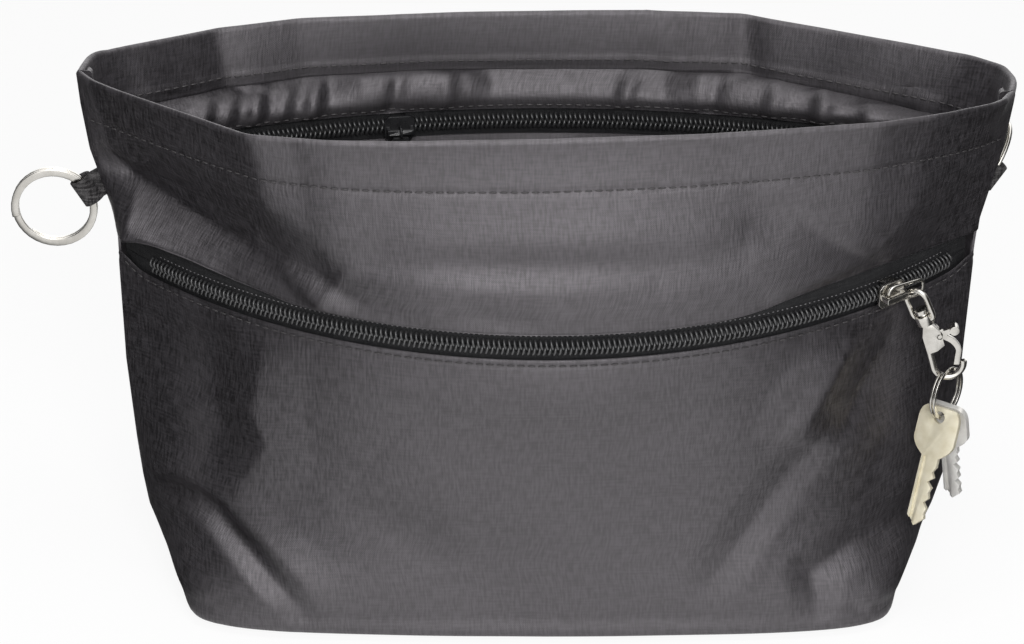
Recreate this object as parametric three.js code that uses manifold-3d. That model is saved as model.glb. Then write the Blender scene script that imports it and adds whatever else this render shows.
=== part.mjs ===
// Travel organizer pouch: an open-topped ripstop nylon pouch that stands on a boxed base.
// It has a zipped pocket across its front, a zipped pocket inside its back, a split ring in a
// webbing tab on each side seam, and a swivel clip with two keys on the front zip's pull ring.
// Millimetres. +X runs from the left seam to the right seam, the front faces -Y, +Z is up,
// and the origin is the middle of the flat base.

import * as THREE from "three";
import { mergeVertices } from "three/addons/utils/BufferGeometryUtils.js";
import Module from "manifold-3d";

const wasm = await Module();
wasm.setup();

// Cloth and clearances
const GAP = 0.3;
const CLOTH = 1.0;
const HEM_FOLD = 1.2;
const HEM_DEPTH = 18;

// Pouch body, given by its outlines: base, hip, waist and rim, and a shoulder over the front zip
const BASE_HALF_WIDTH = 103;
const BASE_HALF_DEPTH = 34;
const BASE_THICKNESS = 1.4;
const HIP_HEIGHT = 34;
const HIP_HALF_WIDTH = 115.5;
const HIP_HALF_DEPTH = 38.5;
const WAIST_BACK_DEPTH = 46;
const RIM_HEIGHT = 168;
const RIM_HALF_WIDTH = 135;
const SHOULDER_RISE = 10;
const SHOULDER_SWELL = 4.4;
const RIM_FRONT_DEPTH = 44.5;
const RIM_FRONT_SKEW = 0.1;
const RIM_BACK_DEPTH = 45;
const RIM_DROOP = 4;

// Front pocket, whose mouth and zip follow one tilted arc
const POCKET_EASE = 2.4;
const ZIP_END_HEIGHT = 112;
const ZIP_HALF_WIDTH = 123;
const ZIP_BULGE = 52;
const ZIP_SAG = 5;
const ZIP_TO_WALL = 3.8;
const ZIP_PAST_SEAM = 3.5;
const TAPE_LANDING = 14;

// Inner zip, on a level arc inside the back wall
const INNER_ZIP_BELOW_RIM = 32;
const INNER_ZIP_HALF_WIDTH = 105;
const INNER_ZIP_TO_WALL = 4.8;
const INNER_POCKET_EASE = 2.6;

// Zip chain: two tapes, each with half of the coil on its face
const TAPE = 0.7;
const CHAIN_SPLIT = 0.6;
const COIL_WIDTH = 1.9;
const COIL_HEIGHT = 2;
const TAPE_SHOWN = 1.6;
const TAPE_TUCKED = 6;
const TAPE_IN_FACING = 4;

// Slider: two plates round the chain, joined by a web, with a crown over the pull
const SLIDER_LENGTH = 9;
const SLIDER_TAPER = 1.2;
const PLATE = 1.2;
const FLANGE = 0.8;
const PLATE_LIP = 0.2;
const CROWN_SPAN = 7;
const CROWN_WIDTH = 1.6;
const CROWN_BAR = 0.9;
const CROWN_ROOM = 2.2;

// Pull ring on the front slider
const FRONT_SLIDER_ANGLE = 34.4;
const PULL_WIRE = 1.1;
const PULL_LENGTH = 11.6;
const PULL_WIDTH = 5;
const PULL_CORNER = 1.9;
const PULL_LIFT = 7;
const PULL_RISE = 0.8;
const EYE_FROM_PULL_END = 3.4;
const EYE_SLACK = 0.3;

// Flat pull on the inner slider
const INNER_SLIDER_ANGLE = -8.8;
const INNER_PULL_LENGTH = 20;
const INNER_PULL_WIDTH = 6;
const INNER_PULL_THICKNESS = 1.3;
const INNER_PULL_EYE_WIRE = 0.8;
const INNER_PULL_HOLE = 1.5;

// Swivel clip: an eye with a bored boss, and a hook with a sprung gate
const CLIP_TILT = 23;
const EYE_TWIST = 36;
const EYE_WIRE = 1.6;
const EYE_WIDTH = 7;
const EYE_LENGTH = 10;
const EYE_CORNER = 1.6;
const BOSS_RADIUS = 2.6;
const BOSS_HEIGHT = 3;
const STEM_RADIUS = 1;
const HEAD_RADIUS = 1.9;
const HEAD_HEIGHT = 1.6;
const HOOK_BODY_LENGTH = 8.8;
const HOOK_BODY_WIDTH = 5;
const HOOK_BODY_THICKNESS = 3.6;
const HOOK_WIRE = 2;
const HOOK_BEND_RADIUS = 4.4;
const HOOK_BEND_DROP = 15;
const HOOK_TIP_ANGLE = 10;
const GATE_PIVOT_DROP = 5;
const GATE_PIVOT_SIDE = 2.2;
const GATE_PIN_RADIUS = 0.6;
const GATE_LUG = 1.7;
const GATE_THICKNESS = 1.4;
const GATE_ARM_WIDTH = 1.6;
const THUMB_REACH = 4.5;
const THUMB_RADIUS = 1.4;
const THUMB_LENGTH = 3.2;
const SPRING_THICKNESS = 0.35;

// Split rings: a flat strip wound nearly twice
const SIDE_RING_RADIUS = 11.4;
const SIDE_RING_BAND = 2.2;
const SIDE_RING_STRIP = 0.9;
const KEY_RING_RADIUS = 7.4;
const KEY_RING_BAND = 1.2;
const KEY_RING_STRIP = 0.6;
const TURN_GAP = 0.45;
const RING_TURNS = 1.9;
const KEY_RING_TURN = 54;

// Keys
const KEY_LENGTH = 36;
const KEY_BOW_LENGTH = 15;
const KEY_BOW_WIDTH = 13;
const KEY_THICKNESS = 1.6;
const KEY_BLADE_WIDTH = 5.4;
const KEY_HOLE_RADIUS = 1.8;
const KEY_HOLE_INSET = 3;
const KEY_GROOVE = 0.6;
const FRONT_KEY_PLACE = -21;
const REAR_KEY_PLACE = 13;

// Side tabs of folded webbing
const TAB_ABOVE_ZIP = 23;
const TAB_WIDTH = 8;
const TAB_ROOT = 3.4;
const TAB_WEBBING = 0.9;
const TUNNEL_RADIUS = 2.4;
const TAB_DROOP = 14;
const RIGHT_TAB_TURN = 70;
const RIGHT_RING_TURN = 20;

const SMOOTH = 24;
const RIPSTOP = { color: 0x4a474a, roughness: 0.5, metalness: 0 };
const ZIP_NYLON = { color: 0x17171a, roughness: 0.55, metalness: 0 };
const WEBBING = { color: 0x2b2a2c, roughness: 0.8, metalness: 0 };
const NICKEL = { color: 0xd2cfc8, roughness: 0.22, metalness: 1 };
const BLACK_ENAMEL = { color: 0x1b1b1d, roughness: 0.35, metalness: 0.3 };
const PALE_BRASS = { color: 0xd8cba4, roughness: 0.3, metalness: 1 };

const pouch = new THREE.Group();

// Adds one named piece to its group, with a material of its own.
function piece(name, geometry, finish, parent = pouch) {
  const mesh = new THREE.Mesh(geometry, new THREE.MeshStandardMaterial(finish));
  mesh.name = name;
  parent.add(mesh);
  return mesh;
}

// Adds a named group that stands at a point with the given X and Y directions.
function station(name, position, xAxis, yAxis, parent = pouch) {
  const group = new THREE.Group();
  const zAxis = xAxis.clone().cross(yAxis).normalize();
  group.name = name;
  group.position.copy(position);
  group.quaternion.setFromRotationMatrix(new THREE.Matrix4().makeBasis(xAxis, yAxis, zAxis));
  parent.add(group);
  group.updateWorldMatrix(true, true);
  return group;
}

// Closed solid from points and triangles, turned so that its faces point outwards.
function solid(points, index) {
  let volume = 0;
  for (let i = 0; i < index.length; i += 3) {
    const [a, b, c] = [points[index[i]], points[index[i + 1]], points[index[i + 2]]];
    volume += a.dot(b.clone().cross(c));
  }
  const turned = volume < 0 ? index.toReversed() : index;
  const geometry = new THREE.BufferGeometry().setFromPoints(points);
  geometry.setIndex(turned);
  return geometry;
}

// Cloth between an outer and an inner grid of points, closed along its four edges.
function shell(outer, inner) {
  const rows = outer.length;
  const cols = outer[0].length;
  const index = [];
  const at = (layer, row, col) => (layer * rows + row) * cols + col;
  const quad = (a, b, c, d) => index.push(a, b, c, a, c, d);
  for (let r = 0; r < rows - 1; r++) {
    for (let c = 0; c < cols - 1; c++) {
      quad(at(0, r, c), at(0, r, c + 1), at(0, r + 1, c + 1), at(0, r + 1, c));
      quad(at(1, r, c), at(1, r + 1, c), at(1, r + 1, c + 1), at(1, r, c + 1));
    }
    quad(at(0, r, 0), at(0, r + 1, 0), at(1, r + 1, 0), at(1, r, 0));
    quad(at(1, r, cols - 1), at(1, r + 1, cols - 1), at(0, r + 1, cols - 1), at(0, r, cols - 1));
  }
  for (let c = 0; c < cols - 1; c++) {
    quad(at(1, 0, c), at(1, 0, c + 1), at(0, 0, c + 1), at(0, 0, c));
    quad(at(0, rows - 1, c), at(0, rows - 1, c + 1), at(1, rows - 1, c + 1), at(1, rows - 1, c));
  }
  return solid([...outer.flat(), ...inner.flat()], index);
}

// Strip of even thickness whose middle surface is the grid.
function strip(grid, thickness) {
  const lastRow = grid.length - 1;
  const lastCol = grid[0].length - 1;
  const side = (sign) => grid.map((row, r) => row.map((point, c) => {
    const along = row[Math.min(c + 1, lastCol)].clone().sub(row[Math.max(c - 1, 0)]);
    const across = grid[Math.min(r + 1, lastRow)][c].clone().sub(grid[Math.max(r - 1, 0)][c]);
    const normal = along.cross(across).normalize();
    return point.clone().addScaledVector(normal, (sign * thickness) / 2);
  }));
  return shell(side(1), side(-1));
}

// Convex section carried along frames of a point and two directions, open-ended or as a loop.
function sweep(frames, section, loop = false) {
  const sides = section.length;
  const points = frames.flatMap(({ at, u, v }) => section.map(
    ([x, y]) => at.clone().addScaledVector(u, x).addScaledVector(v, y),
  ));
  const index = [];
  const rings = loop ? frames.length : frames.length - 1;
  for (let k = 0; k < rings; k++) {
    const next = (k + 1) % frames.length;
    for (let j = 0; j < sides; j++) {
      const i = (j + 1) % sides;
      const [a, b, c, d] = [k * sides + j, k * sides + i, next * sides + i, next * sides + j];
      index.push(a, b, c, a, c, d);
    }
  }
  if (!loop) {
    const end = (frames.length - 1) * sides;
    for (let j = 1; j < sides - 1; j++) {
      index.push(0, j + 1, j, end, end + j, end + j + 1);
    }
  }
  return solid(points, index);
}

// Frames along points of a flat curve in the XY plane.
function flatFrames(points, loop = false) {
  const count = points.length;
  return points.map((point, k) => {
    const before = loop ? points[(k + count - 1) % count] : points[Math.max(k - 1, 0)];
    const after = loop ? points[(k + 1) % count] : points[Math.min(k + 1, count - 1)];
    const tangent = after.clone().sub(before).normalize();
    return {
      at: new THREE.Vector3(point.x, point.y, 0),
      u: new THREE.Vector3(tangent.y, -tangent.x, 0),
      v: new THREE.Vector3(0, 0, 1),
    };
  });
}

// Round section of a wire.
function wireSection(diameter, sides = 8) {
  return Array.from({ length: sides }, (_, k) => {
    const angle = (k / sides) * Math.PI * 2;
    return [(Math.cos(angle) * diameter) / 2, (Math.sin(angle) * diameter) / 2];
  });
}

// Closed wire loop with round corners, in the XY plane, from x0 to x1 and y0 to y1.
function wireLoop(x0, x1, y0, y1, corner, wire, farCorner = corner) {
  const path = new THREE.Path();
  path.absarc(x0 + corner, y0 + corner, corner, Math.PI, Math.PI * 1.5);
  path.absarc(x1 - corner, y0 + corner, corner, Math.PI * 1.5, Math.PI * 2);
  path.absarc(x1 - farCorner, y1 - farCorner, farCorner, 0, Math.PI / 2);
  path.absarc(x0 + farCorner, y1 - farCorner, farCorner, Math.PI / 2, Math.PI);
  path.closePath();
  const points = path.getSpacedPoints(1.5 * SMOOTH).slice(0, -1);
  return sweep(flatFrames(points, true), wireSection(wire), true);
}

// Boolean work on closed geometries.
function toManifold(geometry) {
  const bare = geometry.clone();
  bare.deleteAttribute("normal");
  bare.deleteAttribute("uv");
  const merged = mergeVertices(bare, 1e-4);
  const vertProperties = new Float32Array(merged.attributes.position.array);
  const triVerts = new Uint32Array(merged.index.array);
  return new wasm.Manifold(new wasm.Mesh({ numProp: 3, vertProperties, triVerts }));
}

function fromManifold(manifold) {
  const mesh = manifold.getMesh();
  const geometry = new THREE.BufferGeometry();
  geometry.setAttribute("position", new THREE.BufferAttribute(mesh.vertProperties, mesh.numProp));
  geometry.setIndex(new THREE.BufferAttribute(mesh.triVerts, 1));
  return geometry;
}

function combine(joined, cut = []) {
  let whole = toManifold(joined[0]);
  for (const geometry of joined.slice(1)) {
    whole = whole.add(toManifold(geometry));
  }
  for (const geometry of cut) {
    whole = whole.subtract(toManifold(geometry));
  }
  return fromManifold(whole);
}

// Block between two corners, and a round bar along Y or Z.
function block(x0, x1, y0, y1, z0, z1) {
  const box = new THREE.BoxGeometry(x1 - x0, y1 - y0, z1 - z0);
  return box.translate((x0 + x1) / 2, (y0 + y1) / 2, (z0 + z1) / 2);
}

function barAlongY(radius, y0, y1, x = 0, z = 0) {
  const bar = new THREE.CylinderGeometry(radius, radius, y1 - y0, SMOOTH);
  return bar.translate(x, (y0 + y1) / 2, z);
}

function barAlongZ(radius, length, x, y) {
  const bar = new THREE.CylinderGeometry(radius, radius, length, SMOOTH);
  return bar.rotateX(Math.PI / 2).translate(x, y, 0);
}

// Flat outline in the XY plane given a thickness about Z = 0.
function plate(shape, thickness) {
  const geometry = new THREE.ExtrudeGeometry(shape, {
    depth: thickness,
    bevelEnabled: false,
    curveSegments: SMOOTH / 2,
  });
  return geometry.translate(0, 0, -thickness / 2);
}

// Half of the pouch's outline at one height, from the left seam to the right seam.
// The powers run from a lens (2 and 1) to a box with round corners (4 and 4), and a skewed outline
// is deeper to the left of its middle than to the right.
class Outline extends THREE.Curve {
  constructor(side, halfWidth, depth, heightAt, widthPower, depthPower, skew = 0) {
    super();
    Object.assign(this, { side, halfWidth, depth, heightAt, widthPower, depthPower, skew });
    this.arcLengthDivisions = 400;
  }

  getPoint(t, target = new THREE.Vector3()) {
    const cosine = Math.cos(Math.PI * t);
    const sine = Math.abs(Math.sin(Math.PI * t));
    const x = -this.halfWidth * Math.sign(cosine) * Math.abs(cosine) ** (2 / this.widthPower);
    const depth = this.depth * (1 - (this.skew * x) / this.halfWidth);
    const y = this.side * (GAP / 2 + depth * sine ** (2 / this.depthPower));
    return target.set(x, y, this.heightAt(x));
  }
}

// Curve worked out point by point.
class Trace extends THREE.Curve {
  constructor(pointAt) {
    super();
    this.pointAt = pointAt;
  }

  getPoint(t) {
    return this.pointAt(t);
  }
}

// Cloth surface through a stack of outlines, read by its share along the outline and its height.
class Wall {
  constructor(side, outlines) {
    this.side = side;
    this.outlines = outlines;
    this.columns = new Map();
  }

  column(u) {
    if (!this.columns.has(u)) {
      const points = this.outlines.map((outline) => outline.getPointAt(u));
      this.columns.set(u, new THREE.CatmullRomCurve3(points));
    }
    return this.columns.get(u);
  }

  bottom(u) {
    return this.column(u).getPoint(0).z;
  }

  top(u) {
    return this.column(u).getPoint(1).z;
  }

  point(u, height) {
    const column = this.column(u);
    let low = 0;
    let high = 1;
    for (let k = 0; k < 30; k++) {
      const middle = (low + high) / 2;
      if (column.getPoint(middle).z < height) {
        low = middle;
      } else {
        high = middle;
      }
    }
    return column.getPoint(high);
  }

  // Depth of the surface at a place across it.
  depthAt(x, height) {
    let low = 0;
    let high = 1;
    for (let k = 0; k < 30; k++) {
      const middle = (low + high) / 2;
      if (this.point(middle, height).x < x) {
        low = middle;
      } else {
        high = middle;
      }
    }
    return this.side * this.point(high, height).y;
  }

  // Level direction out of the surface.
  outward(u, height) {
    const step = 0.004;
    const rise = 0.4;
    const low = Math.max(height - rise, this.bottom(u));
    const high = Math.min(height + rise, this.top(u));
    const along = this.point(Math.min(u + step, 1), height);
    along.sub(this.point(Math.max(u - step, 0), height));
    const up = this.point(u, high).sub(this.point(u, low));
    return along.cross(up).setZ(0).normalize().multiplyScalar(-this.side);
  }

  // Point moved out of the surface, kept on its own side of the side seams.
  offset(u, height, distance) {
    const point = this.point(u, height).addScaledVector(this.outward(u, height), distance);
    point.y = this.side * Math.max(this.side * point.y, GAP / 2);
    return point;
  }
}

// Even steps from first to last.
function steps(first, last, count) {
  return Array.from({ length: count + 1 }, (_, k) => first + ((last - first) * k) / count);
}

const FRONT = -1;
const BACK = 1;
const baseTop = BASE_THICKNESS + GAP;
const level = (height) => () => height;
const rimShare = (x) => (x + RIM_HALF_WIDTH) / (2 * RIM_HALF_WIDTH);
const rimHeight = (x) => RIM_HEIGHT - RIM_DROOP * rimShare(x);
const backRimHeight = (x) => RIM_HEIGHT - RIM_DROOP * rimShare(x) ** 3;
const waistHalfWidth = ZIP_HALF_WIDTH - ZIP_PAST_SEAM;

// Outlines of one wall. The pocket in front of it has the same ones, let out by its ease.
function baseOutline(side, ease = 0) {
  return new Outline(side, BASE_HALF_WIDTH + ease, BASE_HALF_DEPTH + ease, level(baseTop), 4, 4);
}

function hipOutline(side, ease = 0) {
  return new Outline(side, HIP_HALF_WIDTH + ease, HIP_HALF_DEPTH + ease, level(HIP_HEIGHT), 3, 1.25);
}

const waistHeight = level(ZIP_END_HEIGHT);
const backWall = new Wall(BACK, [
  baseOutline(BACK),
  hipOutline(BACK),
  new Outline(BACK, waistHalfWidth, WAIST_BACK_DEPTH, waistHeight, 3, 1.4),
  new Outline(BACK, RIM_HALF_WIDTH, RIM_BACK_DEPTH, backRimHeight, 4, 1.6),
]);
const waistDepth = ZIP_BULGE - ZIP_TO_WALL;
const shoulderHeight = ZIP_END_HEIGHT + SHOULDER_RISE;
const shoulderHalfWidth = backWall.point(1, shoulderHeight).x;
const shoulderDepth = waistDepth + SHOULDER_SWELL;
const frontWall = new Wall(FRONT, [
  baseOutline(FRONT),
  hipOutline(FRONT),
  new Outline(FRONT, waistHalfWidth, waistDepth, waistHeight, 2, 1),
  new Outline(FRONT, shoulderHalfWidth, shoulderDepth, level(shoulderHeight), 2.1, 1.1),
  new Outline(FRONT, RIM_HALF_WIDTH, RIM_FRONT_DEPTH, rimHeight, 2.4, 1.3, RIM_FRONT_SKEW),
]);

// One wall of the body, with its top edge folded in as a hem.
function wallGeometry(surface) {
  const columns = steps(0, 1, 24);
  const panelRows = 8;
  const ledge = 0.2;
  const layer = (depthAt) => {
    const rows = steps(0, 1, panelRows).map((share) => columns.map((u) => {
      const hemLine = surface.top(u) - HEM_DEPTH;
      const height = surface.bottom(u) + share * (hemLine - surface.bottom(u));
      return surface.offset(u, height, -depthAt(false));
    }));
    const hemRows = [ledge, HEM_DEPTH / 2, HEM_DEPTH].map((rise) => columns.map((u) => {
      const height = surface.top(u) - HEM_DEPTH + rise;
      return surface.offset(u, height, -depthAt(true));
    }));
    return [...rows, ...hemRows];
  };
  const inner = layer((inHem) => (inHem ? CLOTH + HEM_FOLD : CLOTH));
  return shell(layer(() => 0), inner);
}

piece("front_wall", wallGeometry(frontWall), RIPSTOP);
piece("back_wall", wallGeometry(backWall), RIPSTOP);

// Base panel under the walls and the front pocket, with their outline.
const frontBase = baseOutline(FRONT, POCKET_EASE).getSpacedPoints(40);
const backBase = baseOutline(BACK).getSpacedPoints(40).reverse();
const baseShape = new THREE.Shape([...frontBase, ...backBase].map((p) => new THREE.Vector2(p.x, p.y)));
const basePanel = plate(baseShape, BASE_THICKNESS).translate(0, 0, BASE_THICKNESS / 2);
piece("base_panel", basePanel, RIPSTOP);

// A zip's path: an arc about an axis, with the chain's face turned to or from that axis.
class ZipArc {
  constructor(middle, halfWidth, bulge, bulgeWay, facing) {
    this.facing = facing;
    this.inPlane = bulgeWay;
    this.radius = (halfWidth ** 2 + bulge ** 2) / (2 * bulge);
    this.halfAngle = Math.asin(halfWidth / this.radius);
    this.centre = middle.clone().addScaledVector(bulgeWay, bulge - this.radius);
    this.axis = bulgeWay.clone().cross(new THREE.Vector3(1, 0, 0)).multiplyScalar(facing);
  }

  radial(angle) {
    const across = new THREE.Vector3(Math.sin(angle), 0, 0);
    return across.addScaledVector(this.inPlane, Math.cos(angle));
  }

  tangent(angle) {
    const along = new THREE.Vector3(Math.cos(angle), 0, 0);
    return along.addScaledVector(this.inPlane, -Math.sin(angle));
  }

  // Point at an angle, raised along the axis and lifted off the tape's middle.
  point(angle, raise, lift) {
    const point = this.centre.clone().addScaledVector(this.axis, raise);
    return point.addScaledVector(this.radial(angle), this.radius + this.facing * lift);
  }

  // The same by its share of the whole arc.
  share(u, raise, lift) {
    return this.point((2 * u - 1) * this.halfAngle, raise, lift);
  }

  // Frames along the arc, with u up the tape and v off its face.
  frames(from, to, count) {
    return steps(from, to, count).map((u) => {
      const angle = (2 * u - 1) * this.halfAngle;
      const off = this.radial(angle).multiplyScalar(this.facing);
      return { at: this.point(angle, 0, 0), u: this.axis, v: off };
    });
  }

  // Group on the arc: X along the chain, Y up the tape, Z off its face.
  station(name, degrees) {
    const angle = THREE.MathUtils.degToRad(degrees);
    return station(name, this.point(angle, 0, 0), this.tangent(angle), this.axis);
  }
}

const tapeFace = TAPE / 2;
const coilTop = tapeFace + GAP + COIL_HEIGHT;
const coilEdge = CHAIN_SPLIT + COIL_WIDTH;
const clothEdge = coilEdge + TAPE_SHOWN;
const clothFace = tapeFace + GAP + CLOTH;

const zipReach = Math.hypot(ZIP_BULGE, ZIP_SAG);
const frontZip = new ZipArc(
  new THREE.Vector3(0, 0, ZIP_END_HEIGHT),
  ZIP_HALF_WIDTH,
  zipReach,
  new THREE.Vector3(0, -ZIP_BULGE / zipReach, -ZIP_SAG / zipReach),
  1,
);
const innerZipHeight = rimHeight(0) - INNER_ZIP_BELOW_RIM;
const innerZipDepth = (x) => backWall.depthAt(x, innerZipHeight) - INNER_ZIP_TO_WALL;
const innerZip = new ZipArc(
  new THREE.Vector3(0, innerZipDepth(INNER_ZIP_HALF_WIDTH), innerZipHeight),
  INNER_ZIP_HALF_WIDTH,
  innerZipDepth(0) - innerZipDepth(INNER_ZIP_HALF_WIDTH),
  new THREE.Vector3(0, 1, 0),
  -1,
);
const CHAIN_FROM = 0.02;
const CHAIN_TO = 0.98;
const CHAIN_STEPS = 28;
const chainColumns = steps(CHAIN_FROM, CHAIN_TO, CHAIN_STEPS);

// Half of the coil on one tape, as one strip with a rounded back.
function coilGeometry(zip, sign) {
  const low = tapeFace + GAP;
  const shoulder = coilTop - COIL_HEIGHT / 3;
  const section = [
    [sign * CHAIN_SPLIT, low],
    [sign * coilEdge, low],
    [sign * coilEdge, shoulder],
    [sign * (coilEdge - COIL_WIDTH / 3), coilTop],
    [sign * CHAIN_SPLIT, coilTop],
  ];
  return sweep(zip.frames(CHAIN_FROM, CHAIN_TO, CHAIN_STEPS), section);
}

// Tape that lies flat beside the coil and then follows the cloth that it is sewn to.
function tapeGeometry(zip, sign, tuckedRow) {
  const flat = [CHAIN_SPLIT, coilEdge, clothEdge].map(
    (raise) => chainColumns.map((u) => zip.share(u, sign * raise, 0)),
  );
  const tucked = [0.5, 1].map((share) => chainColumns.map((u) => tuckedRow(u, share)));
  return strip([...flat, ...tucked], TAPE);
}

// Front pocket panel, from the base up to its folded mouth below the zip.
const pocketMouth = new Trace((t) => frontZip.share(t, -clothEdge, clothFace));
const pocketWall = new Wall(FRONT, [
  baseOutline(FRONT, POCKET_EASE),
  hipOutline(FRONT, POCKET_EASE),
  pocketMouth,
]);
const pocketColumns = steps(0.008, 0.992, 24);
const pocketLayer = (depth) => steps(0, 1, 8).map((share) => pocketColumns.map((u) => {
  const height = pocketWall.bottom(u) + share * (pocketWall.top(u) - pocketWall.bottom(u));
  return pocketWall.offset(u, height, -depth);
}));
piece("front_pocket_panel", shell(pocketLayer(0), pocketLayer(CLOTH)), RIPSTOP);

const behindPocket = -(CLOTH + GAP + TAPE / 2);
const frontLowerTape = tapeGeometry(frontZip, -1, (u, share) => (
  pocketWall.offset(u, pocketWall.top(u) - share * TAPE_TUCKED, behindPocket)
));
const onWall = GAP + TAPE / 2;
const frontUpperTape = tapeGeometry(frontZip, 1, (u, share) => {
  const rise = clothEdge + (0.5 + 0.5 * share) * (TAPE_LANDING - clothEdge);
  return frontWall.offset(u, frontZip.share(u, rise, 0).z, onWall);
});
piece("front_zip_tape_upper", frontUpperTape, ZIP_NYLON);
piece("front_zip_tape_lower", frontLowerTape, ZIP_NYLON);
piece("front_zip_coil_upper", coilGeometry(frontZip, 1), ZIP_NYLON);
piece("front_zip_coil_lower", coilGeometry(frontZip, -1), ZIP_NYLON);

// Inner facing, from under the back hem down to the inner zip, and the inner pocket below it.
const facingColumns = steps(0.035, 0.965, 22);
const innerUpperEdge = new Trace((t) => innerZip.share(t, clothEdge, clothFace));
const innerLowerEdge = new Trace((t) => innerZip.share(t, -clothEdge, clothFace));
const onBackWall = -(CLOTH + GAP);
const underHem = new Trace((t) => (
  backWall.offset(t, backWall.top(t) - HEM_DEPTH - 3 * GAP, onBackWall - CLOTH)
));
const facingWall = new Wall(BACK, [innerUpperEdge, underHem]);
const pocketBackAt = (height) => new Trace((t) => (
  backWall.offset(t, height, onBackWall - CLOTH - INNER_POCKET_EASE)
));
const innerWall = new Wall(BACK, [pocketBackAt(baseTop), pocketBackAt(HIP_HEIGHT), innerLowerEdge]);

// Panel between two heights of an inside surface; its own surface is its inner face.
function innerPanel(surface, rowCount) {
  const layer = (depth) => steps(0, 1, rowCount).map((share) => facingColumns.map((u) => {
    const height = surface.bottom(u) + share * (surface.top(u) - surface.bottom(u));
    return surface.offset(u, height, depth);
  }));
  return shell(layer(0), layer(CLOTH));
}

piece("inner_facing", innerPanel(facingWall, 4), RIPSTOP);
piece("inner_pocket_panel", innerPanel(innerWall, 8), RIPSTOP);

const behindFacing = CLOTH + 2 * GAP + TAPE;
const innerUpperTape = tapeGeometry(innerZip, 1, (u, share) => (
  facingWall.offset(u, facingWall.bottom(u) + share * TAPE_IN_FACING, behindFacing)
));
const innerLowerTape = tapeGeometry(innerZip, -1, (u, share) => (
  innerWall.offset(u, innerWall.top(u) - share * TAPE_TUCKED, behindFacing)
));
piece("inner_zip_tape_upper", innerUpperTape, ZIP_NYLON);
piece("inner_zip_tape_lower", innerLowerTape, ZIP_NYLON);
piece("inner_zip_coil_upper", coilGeometry(innerZip, 1), ZIP_NYLON);
piece("inner_zip_coil_lower", coilGeometry(innerZip, -1), ZIP_NYLON);

// Slider: X along the chain, Y up the tape, Z off its face.
const sliderHalfWidth = coilEdge + GAP + FLANGE + PLATE_LIP;
const faceLow = coilTop + GAP;
const faceTop = faceLow + PLATE;
const backTop = -tapeFace - GAP;
const pinHeight = faceTop + CROWN_ROOM / 2;
const crownTop = faceTop + CROWN_ROOM;

function sliderGeometry() {
  const half = SLIDER_LENGTH / 2;
  const outline = new THREE.Shape();
  outline.moveTo(-half, -sliderHalfWidth + SLIDER_TAPER);
  outline.lineTo(SLIDER_TAPER - half, -sliderHalfWidth);
  outline.lineTo(half - SLIDER_TAPER, -sliderHalfWidth);
  outline.lineTo(half, -sliderHalfWidth + SLIDER_TAPER);
  outline.lineTo(half, sliderHalfWidth - SLIDER_TAPER);
  outline.lineTo(half - SLIDER_TAPER, sliderHalfWidth);
  outline.lineTo(SLIDER_TAPER - half, sliderHalfWidth);
  outline.lineTo(-half, sliderHalfWidth - SLIDER_TAPER);
  const face = plate(outline, PLATE).translate(0, 0, faceLow + PLATE / 2);
  const back = plate(outline, PLATE).translate(0, 0, backTop - PLATE / 2);
  const web = block(
    -half / 3, half / 2, GAP - CHAIN_SPLIT, CHAIN_SPLIT - GAP, backTop - PLATE / 2, faceLow + PLATE / 2,
  );
  const flangeLow = tapeFace + GAP;
  const flanges = [-1, 1].map((sign) => {
    const middle = sign * (coilEdge + GAP + FLANGE / 2);
    const reach = half - 2 * SLIDER_TAPER;
    return block(-reach, reach, middle - FLANGE / 2, middle + FLANGE / 2, flangeLow, faceLow + PLATE / 2);
  });
  const legLow = faceTop - PLATE / 2;
  const reach = CROWN_SPAN / 2;
  const legs = [-1, 1].map((sign) => block(
    sign * reach - CROWN_BAR / 2, sign * reach + CROWN_BAR / 2,
    -CROWN_WIDTH / 2, CROWN_WIDTH / 2, legLow, crownTop + CROWN_BAR,
  ));
  const bar = block(-reach, reach, -CROWN_WIDTH / 2, CROWN_WIDTH / 2, crownTop, crownTop + CROWN_BAR);
  return combine([face, back, web, ...flanges, ...legs, bar]);
}

const frontStation = frontZip.station("front_slider_station", FRONT_SLIDER_ANGLE);
piece("front_slider", sliderGeometry(), NICKEL, frontStation);
const innerStation = innerZip.station("inner_slider_station", INNER_SLIDER_ANGLE);
piece("inner_slider", sliderGeometry(), BLACK_ENAMEL, innerStation);

// Front pull ring: one end lies under the crown, by its left leg, and the ring points along the chain.
const pinSide = -(CROWN_SPAN - CROWN_BAR - PULL_WIRE) / 2 + GAP;
const liftWay = THREE.MathUtils.degToRad(PULL_LIFT);
const pullStation = station(
  "front_pull_station",
  new THREE.Vector3(pinSide, 0, pinHeight),
  new THREE.Vector3(Math.cos(liftWay), 0, Math.sin(liftWay)),
  new THREE.Vector3(0, 1, 0),
  frontStation,
);
const pullLow = PULL_RISE - PULL_WIDTH / 2;
const pullHigh = PULL_RISE + PULL_WIDTH / 2;
const pullLoop = wireLoop(0, PULL_LENGTH, pullLow, pullHigh, PULL_CORNER, PULL_WIRE);
piece("front_pull_ring", pullLoop, NICKEL, pullStation);

// Inner pull: a flat tab hung on the crown's bar by a round eye, with a hole near its lower end.
const crownMiddle = crownTop + CROWN_BAR / 2;
const innerPullStation = station(
  "inner_pull_station",
  new THREE.Vector3(0, 0, crownMiddle),
  new THREE.Vector3(1, 0, 0),
  new THREE.Vector3(0, 1, 0),
  innerStation,
);

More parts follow.
